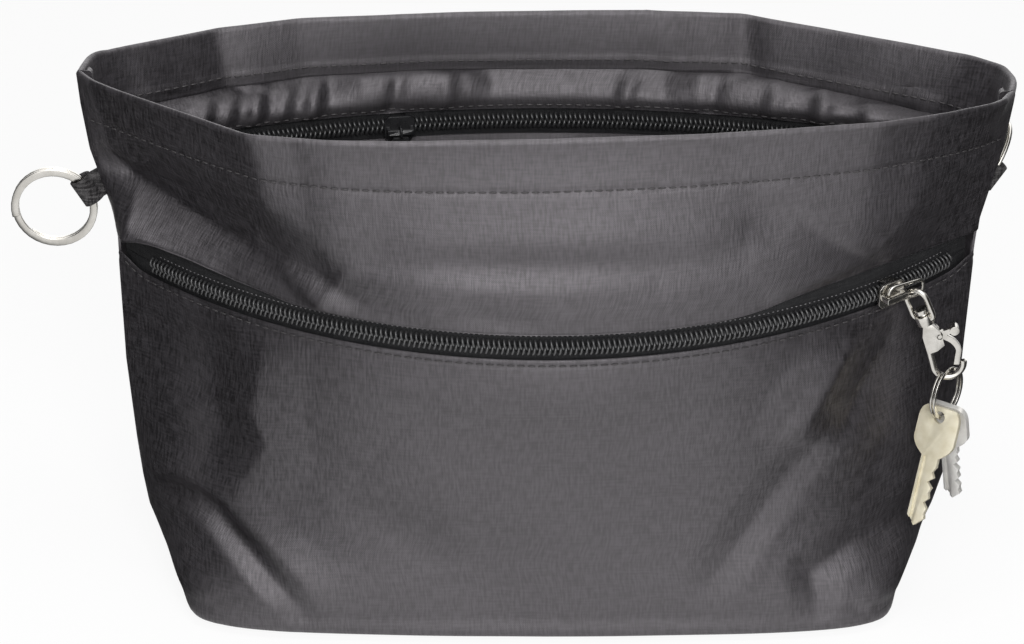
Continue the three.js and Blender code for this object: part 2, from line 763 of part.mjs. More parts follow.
function innerPullGeometry() {
  const half = INNER_PULL_WIDTH / 2;
  const eyeRadius = (Math.hypot(CROWN_WIDTH, CROWN_BAR) + INNER_PULL_EYE_WIRE) / 2 + GAP;
  const eye = new THREE.TorusGeometry(eyeRadius, INNER_PULL_EYE_WIRE / 2, 8, SMOOTH);
  const low = half - INNER_PULL_LENGTH;
  const outline = new THREE.Shape();
  outline.moveTo(half - INNER_PULL_EYE_WIRE, -eyeRadius);
  outline.lineTo(INNER_PULL_EYE_WIRE - half, -eyeRadius);
  outline.lineTo(-half, -eyeRadius - half / 2);
  outline.absarc(0, low, half, Math.PI, Math.PI * 2);
  outline.lineTo(half, -eyeRadius - half / 2);
  const hole = new THREE.Path();
  hole.absarc(0, low, INNER_PULL_HOLE, 0, Math.PI * 2);
  outline.holes = [hole];
  return combine([plate(outline, INNER_PULL_THICKNESS), eye.rotateY(Math.PI / 2)]);
}

piece("inner_pull", innerPullGeometry(), BLACK_ENAMEL, innerPullStation);

// Clip eye: X across the loop, Y down the clip. Its top hangs on the pull ring's lower wire.
const tilt = THREE.MathUtils.degToRad(CLIP_TILT);
const clipDown = new THREE.Vector3(Math.sin(tilt), 0, -Math.cos(tilt));
const clipAcross = new THREE.Vector3(Math.cos(tilt), 0, Math.sin(tilt));
const eyeAcross = clipAcross.clone().applyAxisAngle(clipDown, THREE.MathUtils.degToRad(EYE_TWIST));
const linkRoom = PULL_WIRE / 2 + EYE_WIRE / 2 + GAP;
const eyeTop = pullStation.localToWorld(
  new THREE.Vector3(PULL_LENGTH - EYE_FROM_PULL_END, pullLow + linkRoom + EYE_SLACK, 0),
);
const eyeStation = station("clip_eye_station", eyeTop, eyeAcross, clipDown);

const bossTop = EYE_LENGTH - BOSS_HEIGHT / 2;
const bossBottom = EYE_LENGTH + BOSS_HEIGHT / 2;
const eyeHalf = EYE_WIDTH / 2;
const eyeGeometry = combine(
  [
    wireLoop(-eyeHalf, eyeHalf, 0, EYE_LENGTH, eyeHalf, EYE_WIRE, EYE_CORNER),
    barAlongY(BOSS_RADIUS, bossTop, bossBottom),
  ],
  [barAlongY(STEM_RADIUS + GAP, bossTop - EYE_WIRE, bossBottom + EYE_WIRE)],
);
piece("clip_eye", eyeGeometry, NICKEL, eyeStation);

// Clip hook: X towards the gate, Y down the clip from the boss, Z through its thickness.
const hookTop = eyeTop.clone().addScaledVector(clipDown, bossBottom);
const hookStation = station("clip_hook_station", hookTop, clipAcross, clipDown);
const bodyHalf = HOOK_BODY_WIDTH / 2;
const hookWireHalf = HOOK_WIRE / 2;
const bendCentre = new THREE.Vector2(HOOK_BEND_RADIUS - bodyHalf - hookWireHalf / 2, HOOK_BEND_DROP);
const tipAngle = THREE.MathUtils.degToRad(HOOK_TIP_ANGLE);
const slotHalf = GATE_THICKNESS / 2 + GAP;
const bodyEnd = GAP + HOOK_BODY_LENGTH;

function hookGeometry() {
  const outline = new THREE.Shape();
  outline.moveTo(-STEM_RADIUS - GAP, GAP);
  outline.lineTo(STEM_RADIUS + GAP, GAP);
  outline.lineTo(bodyHalf + GAP, GAP + HOOK_BODY_LENGTH / 3);
  outline.lineTo(bodyHalf, bodyEnd - hookWireHalf);
  outline.lineTo(0, bodyEnd);
  outline.lineTo(-bodyHalf - hookWireHalf / 2, bodyEnd);
  outline.lineTo(-bodyHalf, GAP + HOOK_BODY_LENGTH / 3);
  const body = plate(outline, HOOK_BODY_THICKNESS);
  const stem = barAlongY(STEM_RADIUS, bossTop - bossBottom - GAP - HEAD_HEIGHT / 2, 2 * GAP);
  const headBottom = bossTop - bossBottom - GAP;
  const head = barAlongY(HEAD_RADIUS, headBottom - HEAD_HEIGHT, headBottom);
  const bend = new THREE.Path();
  bend.moveTo(-bodyHalf + hookWireHalf / 2, bodyEnd - HOOK_WIRE);
  bend.lineTo(bendCentre.x - HOOK_BEND_RADIUS, bendCentre.y);
  bend.absarc(bendCentre.x, bendCentre.y, HOOK_BEND_RADIUS, Math.PI, tipAngle, true);
  const wire = sweep(flatFrames(bend.getSpacedPoints(SMOOTH)), wireSection(HOOK_WIRE));
  const gateSlot = block(
    GATE_PIVOT_SIDE - GATE_LUG - GAP, bodyHalf + HOOK_WIRE,
    GATE_PIVOT_DROP - GATE_LUG - GAP, bodyEnd + HOOK_WIRE, -slotHalf, slotHalf,
  );
  const springSlot = block(
    springSide - SPRING_THICKNESS / 2 - GAP, GATE_PIVOT_SIDE,
    springTop - GAP, springEnd + GAP, -slotHalf, slotHalf,
  );
  const pinHole = barAlongZ(GATE_PIN_RADIUS + GAP, 2 * HOOK_BODY_THICKNESS, GATE_PIVOT_SIDE, GATE_PIVOT_DROP);
  return combine([body, stem, head, wire], [gateSlot, springSlot, pinHole]);
}

// Leaf spring in the hook's slot, behind the gate's lug.
const springBow = 0.4;
const springSide = GATE_PIVOT_SIDE - GATE_LUG - GAP - springBow - SPRING_THICKNESS / 2;
const springTop = GATE_PIVOT_DROP - 0.8 * GATE_LUG;
const springEnd = GATE_PIVOT_DROP + 1.4 * GATE_LUG;
const leaf = new THREE.QuadraticBezierCurve(
  new THREE.Vector2(springSide, springTop),
  new THREE.Vector2(springSide + 2 * springBow, (springTop + springEnd) / 2),
  new THREE.Vector2(springSide, springEnd),
);
const leafSection = [
  [-SPRING_THICKNESS / 2, -GATE_THICKNESS / 2],
  [SPRING_THICKNESS / 2, -GATE_THICKNESS / 2],
  [SPRING_THICKNESS / 2, GATE_THICKNESS / 2],
  [-SPRING_THICKNESS / 2, GATE_THICKNESS / 2],
];
piece("clip_hook", hookGeometry(), NICKEL, hookStation);
piece("clip_gate_spring", sweep(flatFrames(leaf.getPoints(8)), leafSection), NICKEL, hookStation);

// Gate on its pin: an arm that closes on the inside of the hook's tip, and a thumb knob.
const pin = barAlongZ(GATE_PIN_RADIUS, HOOK_BODY_THICKNESS, GATE_PIVOT_SIDE, GATE_PIVOT_DROP);
piece("clip_gate_pin", pin, NICKEL, hookStation);
const gateStation = station(
  "clip_gate_station",
  new THREE.Vector3(GATE_PIVOT_SIDE, GATE_PIVOT_DROP, 0),
  new THREE.Vector3(1, 0, 0),
  new THREE.Vector3(0, 1, 0),
  hookStation,
);

function gateGeometry() {
  const tip = new THREE.Vector2(Math.cos(tipAngle), Math.sin(tipAngle)).multiplyScalar(HOOK_BEND_RADIUS);
  tip.add(bendCentre).sub(new THREE.Vector2(GATE_PIVOT_SIDE, GATE_PIVOT_DROP));
  const closeRoom = hookWireHalf + GATE_ARM_WIDTH / 2 + GAP;
  const arm = new THREE.SplineCurve([
    new THREE.Vector2(0, 0),
    new THREE.Vector2(tip.x * 0.75, tip.y * 0.28),
    new THREE.Vector2(tip.x, tip.y * 0.58),
    new THREE.Vector2(tip.x - closeRoom * 0.55, tip.y * 0.82),
    new THREE.Vector2(tip.x - closeRoom * 1.08, tip.y + closeRoom * 0.12),
  ]);
  const half = GATE_ARM_WIDTH / 2;
  const armSection = [
    [-half, -GATE_THICKNESS / 2],
    [half, -GATE_THICKNESS / 2],
    [half, GATE_THICKNESS / 2],
    [-half, GATE_THICKNESS / 2],
  ];
  const armBar = sweep(flatFrames(arm.getPoints(SMOOTH)), armSection);
  const lug = barAlongZ(GATE_LUG, GATE_THICKNESS, 0, 0);
  const lever = block(0, THUMB_REACH, -half, half, -GATE_THICKNESS / 2, GATE_THICKNESS / 2);
  const knob = barAlongZ(THUMB_RADIUS, THUMB_LENGTH, THUMB_REACH, 0);
  const bore = barAlongZ(GATE_PIN_RADIUS + GAP, 2 * GATE_THICKNESS, 0, 0);
  return combine([armBar, lug, lever, knob], [bore]);
}

piece("clip_gate", gateGeometry(), NICKEL, gateStation);

// Split ring in the XY plane about the origin, wound from a flat strip.
function splitRing(radius, band, thickness) {
  const turnPitch = thickness + TURN_GAP;
  const stepsPerTurn = 36;
  const count = Math.round(RING_TURNS * stepsPerTurn);
  const start = (1 - RING_TURNS / 2) * Math.PI * 2;
  const frames = steps(0, RING_TURNS, count).map((turn) => {
    const angle = start + turn * Math.PI * 2;
    const out = new THREE.Vector3(Math.cos(angle), Math.sin(angle), 0);
    const at = out.clone().multiplyScalar(radius);
    at.z = (turn - RING_TURNS / 2) * turnPitch;
    return { at, u: out, v: new THREE.Vector3(0, 0, 1) };
  });
  const section = [
    [-band / 2, -thickness / 2],
    [band / 2, -thickness / 2],
    [band / 2, thickness / 2],
    [-band / 2, thickness / 2],
  ];
  return sweep(frames, section);
}

// Key ring, hanging on the lowest point of the hook's bend: X across it, Y up.
const ringRest = HOOK_BEND_RADIUS - hookWireHalf - GAP - KEY_RING_BAND / 2;
const ringHang = hookStation.localToWorld(new THREE.Vector3(bendCentre.x, bendCentre.y, 0));
ringHang.z -= ringRest + KEY_RING_RADIUS;
const ringTurn = THREE.MathUtils.degToRad(KEY_RING_TURN);
const ringAcross = new THREE.Vector3(Math.cos(ringTurn), Math.sin(ringTurn), 0);
const up = new THREE.Vector3(0, 0, 1);
const ringStation = station("key_ring_station", ringHang, ringAcross, up);
const keyRingLoop = splitRing(KEY_RING_RADIUS, KEY_RING_BAND, KEY_RING_STRIP);
const keyRingMesh = piece("key_ring", keyRingLoop, NICKEL, ringStation);
keyRingMesh.rotation.z = Math.PI / 2;

// Key: X across its bow, Y down to its tip, Z through it, from the middle of its hole.
function keyGeometry() {
  const bowHalf = KEY_BOW_WIDTH / 2;
  const bowTop = -KEY_HOLE_INSET;
  const bowEnd = bowTop + KEY_BOW_LENGTH;
  const tip = bowTop + KEY_LENGTH;
  const bladeHalf = KEY_BLADE_WIDTH / 2;
  const outline = new THREE.Shape();
  outline.moveTo(-bowHalf * 0.5, bowTop);
  outline.lineTo(bowHalf * 0.5, bowTop);
  outline.quadraticCurveTo(bowHalf, bowTop, bowHalf, bowTop + KEY_BOW_LENGTH * 0.3);
  outline.lineTo(bowHalf, bowTop + KEY_BOW_LENGTH * 0.65);
  outline.quadraticCurveTo(bowHalf, bowEnd - bladeHalf, bladeHalf, bowEnd);
  const cuts = [0.9, 1.7, 0.6, 1.4, 0.4];
  const cutPitch = (tip - bowEnd - KEY_BLADE_WIDTH) / cuts.length;
  cuts.forEach((depth, k) => {
    const y = bowEnd + bladeHalf + k * cutPitch;
    outline.lineTo(bladeHalf, y);
    outline.lineTo(bladeHalf - depth, y + cutPitch / 2);
    outline.lineTo(bladeHalf, y + cutPitch);
  });
  outline.lineTo(0, tip);
  outline.lineTo(-bladeHalf, tip - bladeHalf);
  outline.lineTo(-bladeHalf, bowEnd);
  outline.quadraticCurveTo(-bowHalf, bowEnd - bladeHalf, -bowHalf, bowTop + KEY_BOW_LENGTH * 0.65);
  outline.lineTo(-bowHalf, bowTop + KEY_BOW_LENGTH * 0.3);
  outline.quadraticCurveTo(-bowHalf, bowTop, -bowHalf * 0.5, bowTop);
  const hole = new THREE.Path();
  hole.absarc(0, 0, KEY_HOLE_RADIUS, 0, Math.PI * 2);
  outline.holes = [hole];
  const blank = plate(outline, KEY_THICKNESS);
  const grooveSide = -bladeHalf / 2;
  const grooves = [-1, 1].map((face) => {
    const floor = face * (KEY_THICKNESS / 2 - KEY_GROOVE);
    const [z0, z1] = [floor, face * KEY_THICKNESS].sort((a, b) => a - b);
    return block(grooveSide - KEY_GROOVE, grooveSide + KEY_GROOVE, bowEnd, tip + bladeHalf, z0, z1);
  });
  return combine([blank], grooves);
}

// Each key hangs at its own place on the ring, turned so that its hole follows the ring.
function hangKey(name, finish, place) {
  const angle = THREE.MathUtils.degToRad(place);
  const out = ringAcross.clone().multiplyScalar(Math.sin(angle)).addScaledVector(up, -Math.cos(angle));
  const along = ringAcross.clone().multiplyScalar(Math.cos(angle)).addScaledVector(up, Math.sin(angle));
  const across = out.clone().cross(along);
  const at = ringHang.clone().addScaledVector(ringAcross, Math.sin(angle) * KEY_RING_RADIUS);
  at.addScaledVector(up, -Math.cos(angle) * KEY_RING_RADIUS);
  piece(name, keyGeometry(), finish, station(`${name}_station`, at, across, out));
}

hangKey("front_key", PALE_BRASS, FRONT_KEY_PLACE);
hangKey("rear_key", NICKEL, REAR_KEY_PLACE);

// Side tab: X away from the seam, Y up its width, with a round root and the ring's tunnel at its end.
const tunnelWall = TUNNEL_RADIUS + TAB_WEBBING;
const tunnelSide = TAB_ROOT + tunnelWall;

function tabGeometry() {
  const outline = new THREE.Shape();
  const neck = Math.asin(TAB_WEBBING / tunnelWall);
  outline.moveTo(0, -TAB_WEBBING);
  outline.absarc(tunnelSide, 0, tunnelWall, Math.PI + neck, Math.PI - neck);
  outline.lineTo(0, TAB_WEBBING);
  outline.absarc(0, 0, TAB_WEBBING, Math.PI / 2, Math.PI * 1.5);
  const tunnel = new THREE.Path();
  tunnel.absarc(tunnelSide, 0, TUNNEL_RADIUS, 0, Math.PI * 2);
  outline.holes = [tunnel];
  return plate(outline, TAB_WIDTH).rotateX(Math.PI / 2);
}

// Tab and ring on one seam, each turned back from straight out.
function sideRing(side, u, tabTurn, ringTurnBack) {
  const sign = u === 0 ? -1 : 1;
  const height = ZIP_END_HEIGHT + TAB_ABOVE_ZIP;
  const seam = frontWall.point(u, height);
  seam.y = 0;
  const run = frontWall.point(u, height + 1).sub(frontWall.point(u, height - 1)).setY(0).normalize();
  const droop = THREE.MathUtils.degToRad(TAB_DROOP) * -sign;
  const width = run.applyAxisAngle(new THREE.Vector3(0, 1, 0), -droop);
  const out = new THREE.Vector3(sign * width.z, 0, -sign * width.x);
  const clear = GAP + Math.sin(Math.abs(droop)) * (TAB_WIDTH / 2) + TAB_WEBBING;
  const root = seam.addScaledVector(out, clear);
  const back = THREE.MathUtils.degToRad(tabTurn) * sign;
  out.applyAxisAngle(width, back);
  const tabStation = station(`${side}_tab_station`, root, out, width);
  piece(`${side}_tab`, tabGeometry(), WEBBING, tabStation);
  const ringBack = THREE.MathUtils.degToRad(ringTurnBack) * sign;
  const ringOut = new THREE.Vector3(1, 0, 0).applyAxisAngle(new THREE.Vector3(0, 1, 0), ringBack);
  const ring = station(
    `${side}_ring_station`,
    new THREE.Vector3(tunnelSide, 0, 0),
    ringOut,
    new THREE.Vector3(0, 1, 0),
    tabStation,
  );
  const loop = splitRing(SIDE_RING_RADIUS, SIDE_RING_BAND, SIDE_RING_STRIP);
  const mesh = piece(`${side}_split_ring`, loop, NICKEL, ring);
  mesh.position.x = SIDE_RING_RADIUS;
}

sideRing("left", 0, 0, 0);
sideRing("right", 1, RIGHT_TAB_TURN, RIGHT_RING_TURN);

export default pouch;
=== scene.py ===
import math

import bpy
import numpy as np
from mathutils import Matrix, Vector


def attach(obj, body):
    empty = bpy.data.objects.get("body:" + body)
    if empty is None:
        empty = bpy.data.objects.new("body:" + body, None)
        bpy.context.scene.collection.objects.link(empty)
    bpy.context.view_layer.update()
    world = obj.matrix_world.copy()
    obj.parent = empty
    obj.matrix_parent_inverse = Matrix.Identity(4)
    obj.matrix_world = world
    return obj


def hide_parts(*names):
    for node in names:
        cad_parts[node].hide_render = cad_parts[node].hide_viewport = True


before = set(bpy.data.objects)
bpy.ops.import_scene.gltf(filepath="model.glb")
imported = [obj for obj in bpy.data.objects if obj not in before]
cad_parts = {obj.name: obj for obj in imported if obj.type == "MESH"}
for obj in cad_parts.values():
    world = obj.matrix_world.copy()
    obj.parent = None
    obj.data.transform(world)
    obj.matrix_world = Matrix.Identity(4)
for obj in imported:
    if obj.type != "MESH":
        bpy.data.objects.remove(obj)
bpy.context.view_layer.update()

# Studio: a pale floor, a white surround and three soft lamps, with a long lens that looks down on
# the front of the pouch. The eye sees white all round; in reflections the surround is bright in
# front and shaded to the sides, so that satin cloth and metal show their shape.
scene = bpy.context.scene
scene.view_settings.view_transform = "Standard"
VIEW_LIFT = math.radians(28)
VIEW_DISTANCE = 1.0
VIEW_CENTRE = Vector((-0.0098, 0, 0.0868))
LENS, SENSOR = 118.8, 36
SURROUND_LIGHT = 0.22
SKY_GLOW, FLOOR_GLOW, SIDE_SHADE = 1.95, 1.0, 0.04
FRONT_REACH, SIDE_REACH, GLOW_LEAN = 0.26, 0.74, 0.04
LIT_POINT = Vector((0, 0, 0.1))
FLOOR_HALF = 6.0
PAPER_TONE, PAPER_ROUGHNESS, PAPER_WHITE = 0.86, 0.9, 0.9
POUCH_REACH = 0.1

camera_data = bpy.data.cameras.new("camera")
camera_data.lens = LENS
camera_data.sensor_width = SENSOR
camera = bpy.data.objects.new("camera", camera_data)
toward_camera = Vector((0, -math.cos(VIEW_LIFT), math.sin(VIEW_LIFT)))
camera.location = VIEW_CENTRE + VIEW_DISTANCE * toward_camera
camera.rotation_euler = (math.pi / 2 - VIEW_LIFT, 0, 0)
scene.collection.objects.link(camera)
scene.camera = camera


def plug_in(tree, node, inputs):
    """Each named input of a node set to a value, or joined to another node's output."""
    for label, value in dict(inputs).items():
        if isinstance(value, bpy.types.NodeSocket):
            tree.links.new(value, node.inputs[label])
        else:
            node.inputs[label].default_value = value
    return node


def add_node(tree, kind, inputs=(), **settings):
    node = tree.nodes.new(kind)
    for label, value in settings.items():
        setattr(node, label, value)
    return plug_in(tree, node, inputs)


def math_node(tree, operation, *values):
    return add_node(tree, "ShaderNodeMath", enumerate(values), operation=operation).outputs[0]


def pick(tree, share, first, second):
    """First value where the share is 0, second where it is 1, even between."""
    ends = {"Value": share, "To Min": first, "To Max": second}
    return add_node(tree, "ShaderNodeMapRange", ends).outputs["Result"]


def ways_of_seeing(tree):
    """Whether the eye sees a point itself, and whether it sees it in a mirror or through glass."""
    path = add_node(tree, "ShaderNodeLightPath").outputs
    mirrored = math_node(tree, "MAXIMUM", path["Is Glossy Ray"], path["Is Transmission Ray"])
    return path["Is Camera Ray"], mirrored


def brightness_seen(tree, direction, front, otherwise):
    """White to the eye; bright in front and behind but shaded to the sides in mirrors and glass."""
    parts = add_node(tree, "ShaderNodeSeparateXYZ", {0: direction})
    across = math_node(tree, "SUBTRACT", parts.outputs["X"], GLOW_LEAN)
    shade = add_node(tree, "ShaderNodeMapRange", {
        "Value": math_node(tree, "ABSOLUTE", across), "From Min": FRONT_REACH, "From Max": SIDE_REACH,
        "To Min": front, "To Max": SIDE_SHADE}, interpolation_type="SMOOTHSTEP")
    to_eye, mirrored = ways_of_seeing(tree)
    return pick(tree, to_eye, pick(tree, mirrored, otherwise, shade.outputs["Result"]), 1.0)


world = bpy.data.worlds.new("studio")
scene.world = world
world.use_nodes = True
sky = world.node_tree
outlook = add_node(sky, "ShaderNodeTexCoord").outputs["Generated"]
plug_in(sky, sky.nodes["Background"], {
    "Color": (1, 1, 1, 1), "Strength": brightness_seen(sky, outlook, SKY_GLOW, SURROUND_LIGHT)})


def softbox(name, place, size, power, mirrored):
    data = bpy.data.lights.new(name, "AREA")
    data.shape = "RECTANGLE"
    data.size, data.size_y = size
    data.energy = power
    lamp = bpy.data.objects.new(name, data)
    lamp.location = place
    lamp.rotation_euler = (LIT_POINT - Vector(place)).to_track_quat("-Z", "Y").to_euler()
    lamp.visible_glossy = mirrored
    scene.collection.objects.link(lamp)


softbox("key", place=(0.12, -1.35, 0.95), size=(0.6, 0.6), power=16, mirrored=False)
softbox("sheen", place=(0.06, -1.30, 1.05), size=(0.7, 0.6), power=6, mirrored=True)
softbox("top", place=(0, -0.25, 1.3), size=(0.6, 0.5), power=7, mirrored=False)


def new_finish(name):
    """New material, with its node tree and its shader."""
    material = bpy.data.materials.new(name)
    material.use_nodes = True
    return material, material.node_tree, material.node_tree.nodes["Principled BSDF"]


floor_mesh = bpy.data.meshes.new("floor")
floor_corners = [(x * FLOOR_HALF, y * FLOOR_HALF, 0) for x, y in ((-1, -1), (1, -1), (1, 1), (-1, 1))]
floor_mesh.from_pydata(floor_corners, [], [(0, 1, 2, 3)])
floor = bpy.data.objects.new("floor", floor_mesh)
scene.collection.objects.link(floor)
paper, paper_tree, matt = new_finish("studio_paper")
plug_in(paper_tree, matt, {
    "Base Color": (PAPER_TONE, PAPER_TONE, PAPER_TONE, 1), "Roughness": PAPER_ROUGHNESS})
floor_spot = add_node(paper_tree, "ShaderNodeTexCoord").outputs["Object"]
floor_place = add_node(paper_tree, "ShaderNodeSeparateXYZ", {0: floor_spot}).outputs
from_middle = math_node(paper_tree, "ABSOLUTE", floor_place["X"])
beside = math_node(paper_tree, "MAXIMUM", math_node(paper_tree, "SUBTRACT", from_middle, POUCH_REACH), 0.0)
floor_way = add_node(paper_tree, "ShaderNodeCombineXYZ", {"X": beside, "Y": floor_place["Y"]})
bearing = add_node(paper_tree, "ShaderNodeVectorMath", {0: floor_way.outputs[0]}, operation="NORMALIZE")
floor_glow = brightness_seen(paper_tree, bearing.outputs["Vector"], FLOOR_GLOW, 0.0)
glow = add_node(paper_tree, "ShaderNodeEmission", {"Strength": floor_glow})
to_eye, mirrored = ways_of_seeing(paper_tree)
blend = add_node(paper_tree, "ShaderNodeMixShader", {
    "Fac": pick(paper_tree, to_eye, mirrored, PAPER_WHITE), 1: matt.outputs[0], 2: glow.outputs[0]})
plug_in(paper_tree, paper_tree.nodes["Material Output"], {"Surface": blend.outputs[0]})
floor_mesh.materials.append(paper)

# Base panel: one piece of the ripstop nylon, cut to the boxed outline of the pouch's foot and sewn
# to the walls and the front pocket all round. The whole pouch stands on it.
MM = 0.001
FRONT, BACK = -1, 1
COLUMNS, OUTLINE_STEPS = 241, 2001
FOOT_HALF = (103.0, 34.0)
FOOT_TURN, FOOT_THICK = 2.0, 1.3
FOOT_BOW, BOW_HALF = 3.5, 96
FOOT_POWERS = (8, 8)
FOOT_ROWS, FOOT_COLUMNS = 25, 121
CLOTH_CORNER = math.radians(50)
WARP_GRAIN, WEFT_GRAIN, PATCH_GRAIN = (1500, 220, 1), (150, 1500, 1), (30, 30, 1)
PATCH_SHARE, YARN_SHARE = 0.35, 0.25
WEAVE_STOPS, WEAVE_RELIEF = (0.25, 0.75), 0.0003


def run_along(points):
    """Distance along a line of points, from its first to each."""
    return np.concatenate([[0], np.cumsum(np.linalg.norm(np.diff(points, axis=0), axis=1))])


def spread(points, count):
    """Points evenly spaced along a line of points."""
    points = np.asarray(points, float)
    run = run_along(points)
    at = np.linspace(0, run[-1], count)
    return np.stack([np.interp(at, run, points[:, k]) for k in range(points.shape[1])], 1)


def seam_to_seam(side, widths, depth, powers, height, bow=0.0, count=COLUMNS):
    """Half outline of the pouch at one height, from the left seam to the right, its middle bowed out."""
    t = np.linspace(0, 1, OUTLINE_STEPS)
    cosine, sine = np.cos(np.pi * t), np.abs(np.sin(np.pi * t))
    reach = np.where(cosine > 0, *widths)
    x = -reach * np.sign(cosine) * np.abs(cosine) ** (2 / powers[0])
    y = side * (depth * sine ** (2 / powers[1]) + bow * np.clip(1 - (x / BOW_HALF) ** 2, 0, 1))
    return spread(np.stack([x, y, np.full_like(x, height)], 1), count)


def strip(first, last, count):
    """Rows of points that run evenly from one row to another."""
    part = np.linspace(0, 1, count)[:, None, None]
    return first * (1 - part) + last * part


def cloth_mesh(name, outer, inner):
    """Closed cloth between two grids of points in millimetres, with a UV map in metres."""
    rows, cols = outer.shape[:2]
    points = np.concatenate([outer.reshape(-1, 3), inner.reshape(-1, 3)])
    o, i = np.arange(2 * rows * cols).reshape(2, rows, cols)
    quads = [
        (o[:-1, :-1], o[:-1, 1:], o[1:, 1:], o[1:, :-1]),
        (i[:-1, :-1], i[1:, :-1], i[1:, 1:], i[:-1, 1:]),
        (o[:-1, 0], o[1:, 0], i[1:, 0], i[:-1, 0]),
        (i[:-1, -1], i[1:, -1], o[1:, -1], o[:-1, -1]),
        (i[0, :-1], i[0, 1:], o[0, 1:], o[0, :-1]),
        (o[-1, :-1], o[-1, 1:], i[-1, 1:], i[-1, :-1]),
    ]
    faces = np.concatenate([np.stack(quad, -1).reshape(-1, 4) for quad in quads])
    corners = points[faces]
    volume = sum(
        np.einsum("ij,ij->", corners[:, 0], np.cross(corners[:, k], corners[:, k + 1])) for k in (1, 2))
    if volume < 0:
        faces = faces[:, ::-1]
    along, up = np.zeros((2, rows, cols))
    along[:, 1:] = np.cumsum(np.linalg.norm(np.diff(outer, axis=1), axis=2), axis=1)
    along -= along[:, -1:] / 2
    up[1:] = np.cumsum(np.linalg.norm(np.diff(outer, axis=0), axis=2), axis=0)
    flat = np.tile(np.stack([along, up], -1).reshape(-1, 2), (2, 1)) * MM
    mesh = bpy.data.meshes.new(name)
    mesh.from_pydata((points * MM).tolist(), [], faces.tolist())
    layer = mesh.uv_layers.new(name="cut")
    layer.data.foreach_set("uv", flat[faces.reshape(-1)].reshape(-1).astype(np.float32))
    mesh.shade_smooth()
    mesh.set_sharp_from_angle(angle=CLOTH_CORNER)
    return mesh


def add_piece(name, mesh, body, material=None):
    piece = bpy.data.objects.new(name, mesh)
    scene.collection.objects.link(piece)
    if material:
        mesh.materials.append(material)
    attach(piece, body)
    return piece


def open_sockets(tree, inputs, outputs):
    """Named sockets of a tree, each with its kind."""
    for way, sockets in (("INPUT", inputs), ("OUTPUT", outputs)):
        for name, kind in sockets.items():
            tree.interface.new_socket(name, in_out=way, socket_type="NodeSocket" + kind)
    return tree.nodes.new("NodeGroupInput").outputs, tree.nodes.new("NodeGroupOutput")


def woven_group():
    """Weave of a flat cloth: slub along the warp, fainter weft, single yarns, and soft creasing."""
    group = bpy.data.node_groups.new("plain_weave", "ShaderNodeTree")
    given, result = open_sockets(
        group, {"Cut": "Vector", "Yarns per metre": "Float", "Warp": "Float", "Weft": "Float"},
        {"Tone": "Float", "Height": "Float"})

    def uneven(grain, detail, share):
        """Noise drawn out along the cut's own two directions, to either side of 0."""
        drawn = add_node(group, "ShaderNodeMapping", {"Scale": grain, "Vector": given["Cut"]})
        noise = add_node(group, "ShaderNodeTexNoise", {
            "Scale": 1.0, "Detail": detail, "Vector": drawn.outputs["Vector"]}).outputs["Fac"]
        return math_node(group, "MULTIPLY", math_node(group, "SUBTRACT", noise, 0.5), share)

    warp, weft = uneven(WARP_GRAIN, 2, given["Warp"]), uneven(WEFT_GRAIN, 2, given["Weft"])
    tone = math_node(group, "ADD", math_node(group, "ADD", warp, weft), uneven(PATCH_GRAIN, 3, PATCH_SHARE))
    tone = math_node(group, "ADD", tone, 0.5)
    parts = add_node(group, "ShaderNodeSeparateXYZ", {0: given["Cut"]}).outputs
    turn = math_node(group, "MULTIPLY", given["Yarns per metre"], 2 * math.pi)
    waves = [math_node(group, "SINE", math_node(group, "MULTIPLY", parts[axis], turn)) for axis in "XY"]
    yarn = math_node(group, "MULTIPLY", math_node(group, "MULTIPLY", *waves), YARN_SHARE)
    plug_in(group, result, {"Tone": tone, "Height": math_node(group, "ADD", yarn, tone)})
    return group


plain_weave = woven_group()


def two_tone(tree, share, dark, light, stops):
    """Colour that runs from dark to light between two stops of a share."""
    ramp = add_node(tree, "ShaderNodeValToRGB", {"Fac": share})
    for end, stop, tone in zip(ramp.color_ramp.elements, stops, (dark, light)):
        end.position, end.color = stop, (*tone, 1)
    return ramp.outputs["Color"]


def woven(name, dark, light, yarns, warp, weft, roughness, specular, bump):
    """Cloth finish on the plain weave: two tones, roughness that follows them, and its relief."""
    material, tree, shader = new_finish(name)
    cut = add_node(tree, "ShaderNodeUVMap", uv_map="cut").outputs["UV"]
    weave = add_node(tree, "ShaderNodeGroup", node_tree=plain_weave)
    plug_in(tree, weave, {"Cut": cut, "Yarns per metre": yarns, "Warp": warp, "Weft": weft})
    tone = weave.outputs["Tone"]
    relief = add_node(tree, "ShaderNodeBump", {
        "Strength": bump, "Distance": WEAVE_RELIEF, "Height": weave.outputs["Height"]})
    plug_in(tree, shader, {
        "Base Color": two_tone(tree, tone, dark, light, WEAVE_STOPS),
        "Roughness": pick(tree, tone, *roughness),
        "Specular IOR Level": specular, "Normal": relief.outputs["Normal"]})
    return material


ripstop = woven(
    "charcoal_ripstop", dark=(0.0098, 0.0091, 0.0101), light=(0.033, 0.0308, 0.034),
    yarns=1700, warp=1.5, weft=0.8, roughness=(0.52, 0.37), specular=1.0, bump=0.22)
satin = ripstop.node_tree
weft_way = add_node(satin, "ShaderNodeTangent", direction_type="UV_MAP", uv_map="cut")
plug_in(satin, satin.nodes["Principled BSDF"], {
    "Specular Tint": (0.99, 0.935, 0.98, 1), "Anisotropic": 0.85, "Anisotropic Rotation": 0.25,
    "Tangent": weft_way.outputs["Tangent"]})

